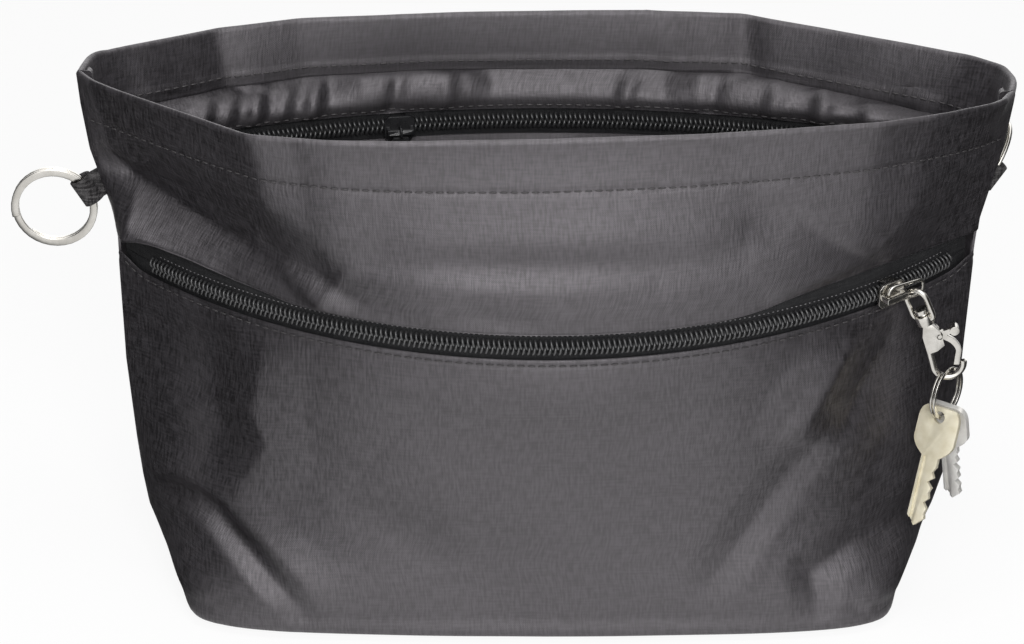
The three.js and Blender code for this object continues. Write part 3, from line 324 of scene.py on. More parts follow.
foot_widths = (FOOT_HALF[0] - FOOT_TURN, FOOT_HALF[0] - FOOT_TURN)
foot_edges = [
    seam_to_seam(side, foot_widths, FOOT_HALF[1] - FOOT_TURN, FOOT_POWERS, 0.0, bow, FOOT_COLUMNS)
    for side, bow in ((FRONT, FOOT_BOW), (BACK, 0.0))]
foot_low = strip(*foot_edges, FOOT_ROWS)
foot_mesh = cloth_mesh("base_panel_cloth", foot_low, foot_low + (0, 0, FOOT_THICK))
base_panel = add_piece("base_panel_cloth", foot_mesh, "pouch", ripstop)
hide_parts("base_panel")

# Front wall: a ripstop panel from the rim to the pocket zip, and a plainer one behind the pocket
# down to the base. Its top edge is turned in as a hem and topstitched, its lower edge is turned
# under and sewn to the zip's tape, and its side edges lap behind the back wall in the side seams.
CLOTH = 0.8
HEM_DEPTH, HEM_STITCH, HEM_FOLD = 18.0, 14.5, 1.2
FRONT_FLARE, BACK_FLARE = 2.2, 1.4
RIM_ROLL, RIM_ROUND = 1.1, 0.42
RIM_DROPS = np.array([0.3, 0.7, 1.2, 2.0])
STITCH_DROPS = HEM_STITCH + np.array([-1.6, -0.8, 0, 0.8, 1.6])
HEM_DROPS = HEM_DEPTH + np.array([-0.2, 0.2])
STITCH_WIDTH, FRONT_STITCH_PULL = 1.1, 0.35
SEAM_HEIGHTS = (0, 2, 9, 17, 25, 35, 48, 75, 112, 122, 144, 158, 168)
SEAM_LEFT = (102, 106.4, 113.4, 117.6, 120.2, 121.6, 122.8, 124.6, 124.9, 124.9, 131.3, 133.2, 134.0)
SEAM_RIGHT = (101, 104.4, 110, 115, 118, 120.6, 122.5, 124.1, 125.4, 126.2, 131.6, 133.7, 134.8)
SEAM_DRAW, SEAM_HOLD, SEAM_GAP = 0.12, 0.03, 0.1
SEAM_TURN, SEAM_LAP, SEAM_UNDER = 2.8, 2.4, 0.4
ZIP_END_HEIGHT, ZIP_HALF_WIDTH, ZIP_BULGE, ZIP_SAG = 112.0, 123.0, 52.0, 5.0
ZIP_REACH = math.hypot(ZIP_BULGE, ZIP_SAG)
CHAIN_SPLIT, COIL_WIDTH, TAPE_SHOWN, TAPE = 0.6, 1.9, 1.6, 0.7
CLOTH_EDGE = CHAIN_SPLIT + COIL_WIDTH + TAPE_SHOWN
CLOTH_FACE = 1.65
TAPE_RAISES, TAPE_LEANS = (0.15, 3.0, 5.5, 9.0, 12.5), (0.0, 0.0, -0.2, -2.2, -4.6)
PLEAT_EASE, PLEAT_STEP, FOLD_TAPER = 1.8, 0.1, 0.6
WAVES, EASE_STEPS = 14, 801


def through(knots, rows, at):
    """Smooth surface through rows of points, read at the given places between the knots."""
    rows, knots, at = np.asarray(rows, float), np.asarray(knots, float), np.asarray(at, float)
    step = np.diff(knots)[:, None, None]
    slope = np.diff(rows, axis=0) / step
    tangent = np.empty_like(rows)
    tangent[0], tangent[-1] = slope[0], slope[-1]
    tangent[1:-1] = (slope[:-1] * step[1:] + slope[1:] * step[:-1]) / (step[1:] + step[:-1])
    k = np.clip(np.searchsorted(knots, at, side="right") - 1, 0, len(knots) - 2)
    h = step[k]
    s = ((at - knots[k])[:, None, None]) / h
    near, far = rows[k], rows[k + 1]
    return (
        near * (2 * s**3 - 3 * s**2 + 1) + far * (3 * s**2 - 2 * s**3)
        + tangent[k] * h * (s**3 - 2 * s**2 + s) + tangent[k + 1] * h * (s**3 - s**2)
    )


def softened(points, reach):
    """A line of points with its corners eased over the given reach, ends kept."""
    line = spread(points, EASE_STEPS)
    gap = np.linalg.norm(np.diff(line, axis=0), axis=1).mean()
    half = max(int(reach / gap), 1)
    kernel = np.hanning(2 * half + 3)[1:-1]
    kernel /= kernel.sum()
    before, after = 2 * line[0] - line[half:0:-1], 2 * line[-1] - line[-2:-half - 2:-1]
    padded = np.concatenate([before, line, after])
    return np.stack([np.convolve(padded[:, k], kernel, "valid") for k in range(line.shape[1])], 1)


def rim_line(plan, ease, places, heights):
    """Top edge of a panel: its plan with eased corners, and its height at places across the pouch."""
    plan = softened(plan, ease)
    return spread(np.column_stack([plan, np.interp(plan[:, 0], places, heights)]), COLUMNS)


def zip_arc(middle, half_width, bulge, way, facing, share, raise_up, lift):
    """Point on a zip's arc, by its share of the arc, raised up the tape and lifted off its face."""
    way = np.asarray(way, float)
    radius = (half_width**2 + bulge**2) / (2 * bulge)
    angle = (2 * np.asarray(share) - 1) * math.asin(half_width / radius)
    centre = np.asarray(middle, float) + way * (bulge - radius)
    axis = np.cross(way, (1, 0, 0)) * facing
    radial = np.stack([np.sin(angle), np.cos(angle) * way[1], np.cos(angle) * way[2]], -1)
    reach = np.broadcast_to(radius + facing * np.asarray(lift), angle.shape)
    raised = np.broadcast_to(raise_up, angle.shape)
    return centre + axis * raised[..., None] + radial * reach[..., None]


def front_zip(share, raise_up, lift):
    way = (0, -ZIP_BULGE / ZIP_REACH, -ZIP_SAG / ZIP_REACH)
    return zip_arc((0, 0, ZIP_END_HEIGHT), ZIP_HALF_WIDTH, ZIP_REACH, way, 1, share, raise_up, lift)


def normals_of(grid):
    normal = np.cross(np.gradient(grid, axis=1), np.gradient(grid, axis=0))
    return normal / np.maximum(np.linalg.norm(normal, axis=2, keepdims=True), 1e-9)


def rising(values, start, reach):
    """0 up to the start, 1 beyond the reach from there, even between."""
    return np.clip((values - start) / reach, 0, 1)


def ridge(distance, width):
    """1 on a line, fading away to either side of it."""
    return np.exp(-((distance / width) ** 2))


def held_at_ends(part, reach):
    """0 at both ends of a row, 1 beyond the reach from them."""
    return np.clip(np.minimum(part, 1 - part) / reach, 0, 1)


def hemmed_levels(count, height, more=()):
    """Rows of a panel as shares of its height, closer at the rim, the hem's stitches and its edge."""
    drops = np.concatenate([RIM_DROPS, STITCH_DROPS, HEM_DROPS])
    return np.unique(np.concatenate([np.linspace(0, 1, count), more, 1 - drops / height]))


def hem_depths(below_rim):
    """How deep the outer and inner faces lie under the panel's face at a drop below the rim."""
    roll = np.clip(1 - below_rim / RIM_ROLL, 0, 1) ** 2
    whole = np.where(below_rim < HEM_DEPTH, CLOTH + HEM_FOLD, CLOTH)
    return roll * whole * RIM_ROUND, whole - roll * whole * RIM_ROUND


def drawn_to_seams(face, inset=0.0):
    """Panel whose side edges are drawn out to the side seams, less the cloth of another panel."""
    part = np.linspace(0, 1, face.shape[1])
    drawn = face.copy()
    for column, way, widths, gap in ((0, -1, SEAM_LEFT, part), (-1, 1, SEAM_RIGHT, 1 - part)):
        seam = way * (np.interp(face[:, column, 2], SEAM_HEIGHTS, widths) - inset)
        near = np.clip(1 - gap / SEAM_DRAW, 0, 1) ** 2
        drawn[:, :, 0] += (seam - face[:, column, 0])[:, None] * near[None, :]
    return drawn


def turned_in(outer, inner):
    """Both grids with the seam allowance: the side edges turn in and lap behind the back wall."""
    lap = np.array([0, SEAM_LAP, 0])
    grids = []
    for grid, under in ((outer, 0.0), (inner, SEAM_UNDER)):
        left, right = grid[:, :1] + (SEAM_TURN, -under, 0), grid[:, -1:] - (SEAM_TURN, under, 0)
        grids.append(np.concatenate([left + lap, left, grid, right, right + lap], 1))
    return grids


def two_faces(side, face, out, sink, thick):
    """A panel's outer and inner face at two depths under it, held on their side of the side seams."""
    grids = [face - out * np.asarray(depth)[..., None] for depth in (sink, thick)]
    for grid in grids:
        grid[:, :, 1] = side * np.maximum(side * grid[:, :, 1], SEAM_GAP)
    return grids


def along_line(x, z, line):
    """Distance of each point from a line in the front view, and its share of the line's run.

    The distance is positive on the left of the run."""
    line = np.asarray(line, float)
    best = np.full(x.shape, 1e9)
    signed = np.zeros(x.shape)
    share = np.zeros(x.shape)
    run = run_along(line)
    for k in range(len(line) - 1):
        a, b = line[k], line[k + 1]
        way = b - a
        length = np.linalg.norm(way)
        s = np.clip(((x - a[0]) * way[0] + (z - a[1]) * way[1]) / length**2, 0, 1)
        dx, dz = x - a[0] - s * way[0], z - a[1] - s * way[1]
        distance = np.hypot(dx, dz)
        side = np.sign(way[0] * dz - way[1] * dx)
        nearer = distance < best
        best = np.where(nearer, distance, best)
        signed = np.where(nearer, side * distance, signed)
        share = np.where(nearer, (run[k] + s * length) / run[-1], share)
    return signed, share


def crease(x, z, line, width, depth):
    """Soft fold along a line in the front view: how far it moves the cloth out at each point."""
    signed, share = along_line(x, z, line)
    return depth * np.sin(np.pi * share) ** FOLD_TAPER * ridge(signed, width)


def pleat(x, z, line, profile):
    """Crisp fold along a line, from pairs of distance from the line and reach out of the cloth."""
    signed, share = along_line(x, z, line)
    places, reaches = np.transpose(profile)
    table = np.arange(places[0] - 2 * PLEAT_EASE, places[-1] + 2 * PLEAT_EASE, PLEAT_STEP)
    kernel = np.hanning(2 * round(PLEAT_EASE / PLEAT_STEP) + 3)[1:-1]
    rounded = np.convolve(np.interp(table, places, reaches), kernel / kernel.sum(), "same")
    return np.sin(np.pi * share) ** FOLD_TAPER * np.interp(signed, table, rounded)


def rumple(x, z, seed, scale, amount):
    """Gentle unevenness of slack cloth: a sum of a few long waves with fixed phases."""
    draw = np.random.default_rng(seed)
    total = np.zeros_like(x)
    for _ in range(WAVES):
        turn = draw.uniform(0, 2 * math.pi)
        length = scale * draw.uniform(0.6, 1.8)
        phase = draw.uniform(0, 2 * math.pi)
        total += np.sin((x * math.cos(turn) + z * math.sin(turn)) * 2 * math.pi / length + phase)
    return amount * total / math.sqrt(WAVES)


def folded(x, z, slack, pleats, folds):
    """How far a panel's slack, its crisp pleats and its soft folds move the cloth out."""
    for line, profile in pleats:
        slack = slack + pleat(x, z, line, profile)
    for line, width, depth in folds:
        slack = slack + crease(x, z, line, width, depth)
    return slack


FRONT_HEIGHT, LINING_ROWS = 57, 60
EDGE_EASE, EDGE_GAP, EDGE_HOLD = 9, 0.15, 0.10
FREE_LEFT, FREE_RIGHT = (0.22, -0.08), (0.8, 0.06)
SWELL_ROUND = 0.5
HEM_GIVE, HEM_EASE = 0.35, 14
HANG_REACH, HANG_START, HANG_END, HANG_SEAM = 9.0, (0.05, 0.12), (0.85, -0.25), 0.012
UNDER_DEPTH, UNDER_REACH = 0.5, 0.012
TURN_RAISE, TURN_LIMIT, TURN_LIFT, TURN_ROWS = 2.0, 8.0, 0.1, 9
front_rim = rim_line(
    [(-135, -0.2), (-132.5, -3), (-122, -12), (-112, -19.5), (-98, -30), (-82, -42), (-60, -45.5),
     (-39, -46), (0, -44), (42, -41), (66, -37.5), (92, -32.5), (108, -26.5), (117, -19), (126, -11),
     (132.5, -3), (135, -0.2)], 4.5,
    [-135, -60, 0, 66, 108, 117, 126, 135], [168, 167.3, 166.7, 167, 167, 165.4, 163.5, 161.5])
share = np.linspace(0, 1, COLUMNS)
edge_raise = CLOTH_EDGE + np.interp(
    share, [0, 0.03, 0.06, 0.1, 0.16, 0.2, 0.24, 0.68, 0.72, 0.76, 0.82, 0.90, 0.95, 1],
    [3.8, 8.0, 8.6, 7.0, 3.6, 1.4, 0.0, 0.0, 1.0, 3.2, 5.2, 5.6, 3.6, 1.6])
edge_mean = np.full(EDGE_EASE, 1 / EDGE_EASE)
edge_raise = np.convolve(np.pad(edge_raise, EDGE_EASE // 2, "edge"), edge_mean, "valid")
front_edge = front_zip(share, edge_raise, CLOTH_FACE)
front_edge[:, 1] = np.minimum(front_edge[:, 1], -EDGE_GAP)
FRONT_KNOTS, FRONT_SWELL = (0, 0.16, 0.42, 0.70, 1), (0, 2.2, 1.8, 1.4, 0)
front_rows = []
for part, out in zip(FRONT_KNOTS, FRONT_SWELL):
    front_rows.append(front_edge * (1 - part) + front_rim * part)
    front_rows[-1][:, 1] -= out * np.sin(np.pi * share) ** SWELL_ROUND
front_levels = hemmed_levels(44, FRONT_HEIGHT, [0.006, 0.015, 0.03])
front_face = drawn_to_seams(through(FRONT_KNOTS, front_rows, front_levels))
below = (1 - front_levels)[:, None] * np.linalg.norm(front_rim - front_edge, axis=1)[None, :]
fx, fz = front_face[:, :, 0], front_face[:, :, 2]
FRONT_PLEATS = [
    ([(-140, 143), (-124, 137.5), (-110, 132.6), (-98, 128.4), (-84, 124.5), (-75, 119), (-66, 113)],
     [(-24, 0), (-12, 4.0), (0, -7.5), (22, 0)]),
    ([(-84, 129), (-75, 126.5), (-65, 123), (-53, 116), (-42, 113), (-34, 111)],
     [(-13, 0), (-6, 2.0), (0, -2.6), (10, 0)]),
    ([(130, 168), (120, 158), (114, 153.5), (106, 146.5), (101, 138), (95, 130), (90, 124)],
     [(-42, 0), (0, 4.2), (16, 0.2), (26, 0)]),
]
FRONT_FOLDS = [
    ([(-131, 153), (-124, 147), (-116, 142)], 4.0, 1.8),
    ([(-45, 139), (0, 139.5), (55, 138)], 7.0, 1.2),
    ([(-60, 131), (-20, 130.5), (30, 130.5), (58, 131)], 5.0, -1.2),
    ([(-50, 126), (-10, 125.5), (30, 126.5)], 3.5, 1.0),
    ([(53, 152), (58, 146), (66, 136)], 6.0, -0.6),
    ([(-24, 116), (-12, 114.5), (-2, 115)], 4.0, -1.0),
    ([(62, 115), (76, 118), (92, 124)], 4.5, 1.6),
]
seam_hold = held_at_ends(share, SEAM_HOLD)[None, :]
edge_free = rising(share, *FREE_LEFT) + rising(share, *FREE_RIGHT)
edge_hold = np.maximum(rising(front_levels, 0, EDGE_HOLD)[:, None], edge_free[None, :])
hem_hold = HEM_GIVE + (1 - HEM_GIVE) * rising(below, HEM_STITCH, HEM_EASE)
out_by = folded(fx, fz, rumple(fx, fz, seed=5, scale=46, amount=0.3), FRONT_PLEATS, FRONT_FOLDS)
out_by = out_by * seam_hold * edge_hold * hem_hold
above_chain = fz - front_zip(share, 0.0, 0.0)[None, :, 2]
room = np.interp(above_chain, [4.0, 5.5, 9.0, 12.5, 20.0], [0.3, 1.4, 4.2, 6.5, 20.0])
out_by = np.where(out_by < 0, -room * np.tanh(-out_by / room), out_by)
out_by = out_by - FRONT_STITCH_PULL * ridge(below - HEM_STITCH, STITCH_WIDTH) * seam_hold
out_by = out_by + FRONT_FLARE * np.clip(1 - below / HEM_STITCH, 0, 1) ** 2 * seam_hold
front_face = front_face + normals_of(front_face) * out_by[:, :, None]

# The fold at the upper left hangs over the end of the zip.
under, run = along_line(fx, fz, FRONT_PLEATS[0][0])
hang = rising(under, 0, -HANG_REACH) * rising(run, *HANG_START) * rising(run, *HANG_END)
hang = hang * rising(share, 0, HANG_SEAM)[None, :]
hang_depth = np.interp(
    fx, [-127, -123.5, -120, -110, -100, -90, -80, -70], [-4, -11, -18, -22, -26, -30, -34.5, -38.5])
front_y = front_face[:, :, 1]
front_face[:, :, 1] = front_y * (1 - hang) + np.minimum(front_y, hang_depth) * hang
front_out = normals_of(front_face)
sink, thick = hem_depths(below)
fold_under = UNDER_DEPTH * np.clip(1 - front_levels / UNDER_REACH, 0, 1)[:, None]
front_outer, front_inner = two_faces(
    FRONT, front_face, front_out, sink + fold_under, thick - fold_under)

lining_rows = [
    seam_to_seam(FRONT, (102.0, 102.0), FOOT_HALF[1] - 1, FOOT_POWERS, 1.7, FOOT_BOW),
    seam_to_seam(FRONT, (114.0, 114.0), 36.5, (3, 1.25), 34),
    front_zip(share, -16.0, -4.5),
    front_zip(share, 0.0, -2.6),
    front_zip(share, 9.0, -6.5),
]
lining_face = through([0, 0.3, 0.86, 0.94, 1], lining_rows, np.linspace(0, 1, LINING_ROWS))
lining_inset = np.interp(lining_face[:, 0, 2], [80, 100], [1.2, 5.0])
lining_face = drawn_to_seams(lining_face, lining_inset)
lining_outer, lining_inner = two_faces(FRONT, lining_face, normals_of(lining_face), 0.0, CLOTH)

sewn_raise = np.minimum(edge_raise + TURN_RAISE, TURN_LIMIT)
sewn_lift = np.interp(sewn_raise, TAPE_RAISES, TAPE_LEANS) + TAPE / 2 + TURN_LIFT
sewn_edge = front_zip(share, sewn_raise, sewn_lift)
open_edge = (front_outer[0] + front_inner[0]) / 2
sewn_edge = sewn_edge * (open_edge[0, 0] / sewn_edge[0, 0], 1, 1)
turn_face = strip(sewn_edge, open_edge, TURN_ROWS)
turn_outer, turn_inner = two_faces(FRONT, turn_face, normals_of(turn_face), -CLOTH / 4, CLOTH / 4)


def joined(name, meshes):
    """One mesh from several, their materials and UV maps kept."""
    pieces = []
    for mesh in meshes:
        piece = bpy.data.objects.new(name, mesh)
        scene.collection.objects.link(piece)
        pieces.append(piece)
    with bpy.context.temp_override(active_object=pieces[0], selected_editable_objects=pieces):
        bpy.ops.object.join()
    mesh = pieces[0].data
    bpy.data.objects.remove(pieces[0])
    return mesh


front_mesh = joined("front_wall_cloth", [
    cloth_mesh("front_upper", *turned_in(front_outer, front_inner)),
    cloth_mesh("front_turn_under", turn_outer, turn_inner),
    cloth_mesh("front_lining", *turned_in(lining_outer, lining_inner)),
])
front_wall = add_piece("front_wall_cloth", front_mesh, "pouch", ripstop)
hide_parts("front_wall")


def mottled(name, dark, light, grain, roughness, detail=2.0, stops=(0, 1), metallic=0.0, specular=0.5):
    """Thread, nylon or metal of two close tones; a pair of roughnesses follows the tones."""
    material, tree, shader = new_finish(name)
    place = add_node(tree, "ShaderNodeTexCoord").outputs["Object"]
    noise = add_node(tree, "ShaderNodeTexNoise", {"Scale": grain, "Detail": detail, "Vector": place})
    tone = noise.outputs["Fac"]
    plug_in(tree, shader, {
        "Base Color": two_tone(tree, tone, dark, light, stops),
        "Roughness": pick(tree, tone, *roughness) if isinstance(roughness, tuple) else roughness,
        "Metallic": metallic, "Specular IOR Level": specular})
    return material


THREAD_GRAIN, THREAD_ROUGHNESS = 2600, 0.55
thread = mottled(
    "black_thread", (0.015, 0.014, 0.015), (0.06, 0.056, 0.058), THREAD_GRAIN, THREAD_ROUGHNESS)


def carried(tree, label):
    """Direction that the points of a line carry under a label."""
    read = add_node(tree, "GeometryNodeInputNamedAttribute", {"Name": label}, data_type="FLOAT_VECTOR")
    return read.outputs["Attribute"]


def lay_out(tree, result, copies, along, off, material):
    """Copies of a shape at points, turned along and off a surface, made real and given a material."""
    lie = add_node(
        tree, "FunctionNodeAxesToRotation", {"Primary Axis": along, "Secondary Axis": off},
        primary_axis="X", secondary_axis="Z")
    lay = add_node(tree, "GeometryNodeInstanceOnPoints", {**copies, "Rotation": lie.outputs["Rotation"]})
    real = add_node(tree, "GeometryNodeRealizeInstances", {0: lay.outputs[0]})
    dress = add_node(tree, "GeometryNodeSetMaterial", {"Geometry": real.outputs[0], "Material": material})
    plug_in(tree, result, {0: dress.outputs[0]})


def stitch_tree():
    """Stitches laid end to end along a line of points that know which way the cloth faces."""
    tree = bpy.data.node_groups.new("topstitch", "GeometryNodeTree")
    given, result = open_sockets(tree, {
        "Seam line": "Geometry", "Pitch": "Float", "Stitch length": "Float", "Thread width": "Float",
        "Thread": "Material"}, {"Stitches": "Geometry"})
    line = add_node(tree, "GeometryNodeMeshToCurve", {0: given["Seam line"]})
    steps = add_node(tree, "GeometryNodeResampleCurve", {
        "Curve": line.outputs[0], "Length": given["Pitch"]}, mode="LENGTH")
    bead = add_node(tree, "GeometryNodeMeshUVSphere", {"Segments": 8, "Rings": 5, "Radius": 0.5})
    size = add_node(tree, "ShaderNodeCombineXYZ", {
        "X": given["Stitch length"], "Y": given["Thread width"], "Z": given["Thread width"]})
    along = add_node(tree, "GeometryNodeInputTangent").outputs[0]
    copies = {
        "Points": steps.outputs["Curve"], "Instance": bead.outputs["Mesh"], "Scale": size.outputs[0]}
    lay_out(tree, result, copies, along, carried(tree, "off_cloth"), given["Thread"])
    return tree


topstitch = stitch_tree()


def grown(name, tree, lines, vectors, inputs, with_edges=True):
    """Plain mesh made by a tree from lines of points in millimetres that carry vectors."""
    points, edges = [], []
    for line in lines:
        first = len(points)
        points.extend((np.asarray(line) * MM).tolist())
        if with_edges:
            edges.extend((first + k, first + k + 1) for k in range(len(line) - 1))
    seed = bpy.data.meshes.new(name + "_line")
    seed.from_pydata(points, edges, [])
    for label, values in vectors.items():
        layer = seed.attributes.new(label, "FLOAT_VECTOR", "POINT")
        layer.data.foreach_set("vector", np.concatenate(values).reshape(-1).astype(np.float32))
    carrier = bpy.data.objects.new(name + "_line", seed)
    scene.collection.objects.link(carrier)
    modifier = carrier.modifiers.new("grow", "NODES")
    modifier.node_group = tree
    for item in tree.interface.items_tree:
        if item.in_out == "INPUT" and item.name in inputs:
            modifier[item.identifier] = inputs[item.name]
    bpy.context.view_layer.update()
    evaluated = carrier.evaluated_get(bpy.context.evaluated_depsgraph_get())
    mesh = bpy.data.meshes.new_from_object(evaluated)
    mesh.name = name
    bpy.data.objects.remove(carrier)
    mesh.shade_smooth()
    return mesh


STITCH = {"Pitch": 2.9 * MM, "Stitch length": 2.3 * MM, "Thread width": 0.55 * MM, "Thread": thread}
STITCH_LIFT = 0.12
STITCH_ENDS = 3


def line_on(grid, normals, heights, at, lift=STITCH_LIFT):
    """Line across a cloth grid at one of its heights, lifted off the face, and the way it faces."""
    places, facings = [], []
    for col in range(STITCH_ENDS, grid.shape[1] - STITCH_ENDS):
        order = np.argsort(heights[:, col])
        for source, found in ((grid, places), (normals, facings)):
            found.append([np.interp(at, heights[order, col], source[order, col, k]) for k in range(3)])
    facings = np.asarray(facings)
    facings /= np.linalg.norm(facings, axis=1, keepdims=True)
    return np.asarray(places) + facings * lift, facings


def add_stitches(name, rows, sizes):
    lines, facings = zip(*rows)
    add_piece(name, grown(name, topstitch, lines, {"off_cloth": facings}, sizes), "pouch")


hem_row = line_on(front_outer, front_out, below, HEM_STITCH)
add_stitches("front_hem_stitches", [hem_row], STITCH)

# Front pocket: one ripstop panel across the whole front, sewn into the side seams and the base.
# Its mouth is folded over the zip's lower tape and topstitched; it hangs slack, with soft dents.
POCKET_ROWS, POCKET_HEIGHT = 92, 112.0
BOX_POWERS = (7, 5)
MOUTH_REACH, MOUTH_LEFT, MOUTH_RIGHT = 0.022, 3.2, 2.6
POCKET_CLOTH = CLOTH + 0.1
BASE_HOLD, MOUTH_HOLD, SIDE_HOLD = 0.10, 0.12, 0.04
MOUTH_STITCH, MOUTH_STITCH_PULL, MOUTH_STITCH_WIDTH, MOUTH_STITCH_LIFT = 1.8, 0.25, 0.8, 0.1
MOUTH_ROLL, MOUTH_ROUND = 0.8, 0.45
FLOOR_GAP = 0.15
mouth_raise = MOUTH_LEFT * ridge(share, MOUTH_REACH) + MOUTH_RIGHT * ridge(1 - share, MOUTH_REACH)
mouth_raise = mouth_raise - CLOTH_EDGE
pocket_rows = [
    seam_to_seam(FRONT, (102.2, 101.2), FOOT_HALF[1] - 1.2, FOOT_POWERS, 0.25, FOOT_BOW),
    seam_to_seam(FRONT, (105.6, 103.6), FOOT_HALF[1] + 1.9, FOOT_POWERS, 1.8, FOOT_BOW),
    seam_to_seam(FRONT, (110.5, 106.4), FOOT_HALF[1] + 4.0, BOX_POWERS, 9, 2.0),
    seam_to_seam(FRONT, (121.8, 119.0), 41.5, (3, 1.35), 34),
    seam_to_seam(FRONT, (124.3, 123.2), 48.0, (2.5, 1.12), 75),
    front_zip(share, mouth_raise - 6.0, CLOTH_FACE + 0.7),
    front_zip(share, mouth_raise, CLOTH_FACE),
]
pocket_knots = [0, 0.02, 0.09, 0.31, 0.66, 0.945, 1]
pocket_levels = np.unique(np.concatenate([
    np.linspace(0, 1, POCKET_ROWS), [0.006, 0.012, 0.03, 0.975, 0.985, 0.994, 0.997]]))
pocket_face = drawn_to_seams(through(pocket_knots, pocket_rows, pocket_levels))
px, pz = pocket_face[:, :, 0], pocket_face[:, :, 2]
POCKET_PLEATS = [
    ([(-128, 38), (-118, 42), (-109, 44.5), (-102, 44.2), (-95, 41.5), (-83, 31.2), (-72, 20), (-64, 9)],
     [(-19, 0), (-12, 1.2), (-6, -2.4), (0, 2.4), (11, 0.3), (18, 0)]),
    ([(-78, 108), (-80.4, 97.5), (-84.7, 75), (-81, 64), (-88, 49), (-92, 40)],
     [(-26, 0), (-13, -2.0), (0, 2.0), (14, 0)]),
    ([(88, 104), (85.5, 94.6), (81, 85.8), (74.4, 74), (72, 66)],
     [(-14, 0), (0, 3.0), (14, -3.0), (28, 0)]),
    ([(68, 73), (77, 69), (97.7, 60.3), (113, 53.5), (122, 50)], [(-14, 0), (0, 2.2), (12, 0)]),
    ([(84, 71), (78, 63), (66, 47), (52, 26), (46, 16)], [(-10, 0), (0, -2.2), (8, 0)]),
    ([(122, 33), (108, 30), (92, 28), (79, 22), (81, 14), (80, 4)], [(-8, 0), (0, -2.8), (8, 0)]),
]
POCKET_FOLDS = [
    ([(-118, 94), (-106, 84), (-100, 72)], 14.0, -2.2),
    ([(-61, 48), (-37, 37.6), (-32, 25)], 8.0, -1.2),
    ([(-48, 66), (-30, 54), (-16, 34)], 16.0, 1.0),
    ([(114, 24), (102, 14), (94, 8)], 5.5, 1.6),
]
pocket_hold = rising(pocket_levels, 0, BASE_HOLD) * rising(1 - pocket_levels, 0, MOUTH_HOLD)
dent = folded(px, pz, rumple(px, pz, seed=11, scale=60, amount=0.35), POCKET_PLEATS, POCKET_FOLDS)
dent = dent * pocket_hold[:, None] * held_at_ends(share, SIDE_HOLD)[None, :]
from_mouth = np.broadcast_to(((1 - pocket_levels) * POCKET_HEIGHT)[:, None], px.shape)
dent = dent - MOUTH_STITCH_PULL * ridge(from_mouth - MOUTH_STITCH, MOUTH_STITCH_WIDTH)
pocket_face = pocket_face + normals_of(pocket_face) * dent[:, :, None]
pocket_out = normals_of(pocket_face)
mouth_roll = MOUTH_ROUND * np.clip(1 - from_mouth / MOUTH_ROLL, 0, 1) ** 2
pocket_outer, pocket_inner = two_faces(
    FRONT, pocket_face, pocket_out, mouth_roll, POCKET_CLOTH - mouth_roll)
for grid in (pocket_outer, pocket_inner):
    grid[:, :, 2] = np.maximum(grid[:, :, 2], FLOOR_GAP)
pocket_mesh = cloth_mesh("front_pocket_cloth", pocket_outer, pocket_inner)
front_pocket = add_piece("front_pocket_cloth", pocket_mesh, "pouch", ripstop)
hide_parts("front_pocket_panel")
mouth_row = line_on(pocket_outer, pocket_out, from_mouth, MOUTH_STITCH, MOUTH_STITCH_LIFT)
add_stitches("pocket_mouth_stitches", [mouth_row], STITCH)

# Front zip: two black woven tapes, each with a nylon coil sewn along its edge. The lower tape runs
# under the pocket's fold, the upper one under the front wall's.
zip_tape = woven(
    "black_zip_tape", dark=(0.008, 0.008, 0.009), light=(0.02, 0.02, 0.021),
    yarns=1400, warp=0.7, weft=0.7, roughness=(0.75, 0.6), specular=0.25, bump=0.5)
black_coil = mottled(
    "black_coil", (0.012, 0.012, 0.013), (0.045, 0.045, 0.046), 900, (0.22, 0.4), specular=0.9)
COIL_PITCH, COIL_HEIGHT, COIL_SEAT, COIL_WIRE = 1.45, 2.0, 0.45, 0.4
COIL_OVERLAP, COIL_LEAN, COIL_BEND = 0.35, 0.75, 1.3
CHAIN_FROM, CHAIN_TO, CHAIN_START = 0.05, 0.965, 0.3
TAPE_ROWS, CHAIN_STEPS, NUDGE = 17, 4001, 1e-4


def coil_tree():
    """Coil loops along a zip: each one rises from the tape, bends over and leans along the chain."""
    tree = bpy.data.node_groups.new("zip_coil", "GeometryNodeTree")
    given, result = open_sockets(tree, {
        "Chain": "Geometry", "Reach": "Float", "Overlap": "Float", "Loop height": "Float",
        "Lean": "Float", "Wire radius": "Float", "Nylon": "Material"}, {"Coil": "Geometry"})
    high = math_node(tree, "MULTIPLY", given["Loop height"], COIL_BEND)
    bend = {"Resolution": 8}
    for end, lean, across in (("Start", -0.5, given["Reach"]), ("End", 0.5, given["Overlap"])):
        along = math_node(tree, "MULTIPLY", given["Lean"], lean)
        for label, up in ((end, 0.0), (end + " Handle", high)):
            place = add_node(tree, "ShaderNodeCombineXYZ", {"X": along, "Y": across, "Z": up})
            bend[label] = place.outputs[0]
    loop = add_node(tree, "GeometryNodeCurvePrimitiveBezierSegment", bend)
    wire = add_node(tree, "GeometryNodeCurvePrimitiveCircle", {
        "Resolution": 6, "Radius": given["Wire radius"]})
    bent = add_node(tree, "GeometryNodeCurveToMesh", {
        "Curve": loop.outputs["Curve"], "Profile Curve": wire.outputs["Curve"], "Fill Caps": True})
    copies = {"Points": given["Chain"], "Instance": bent.outputs["Mesh"]}
    lay_out(tree, result, copies, carried(tree, "along"), carried(tree, "off_tape"), given["Nylon"])
    return tree


zip_coil = coil_tree()


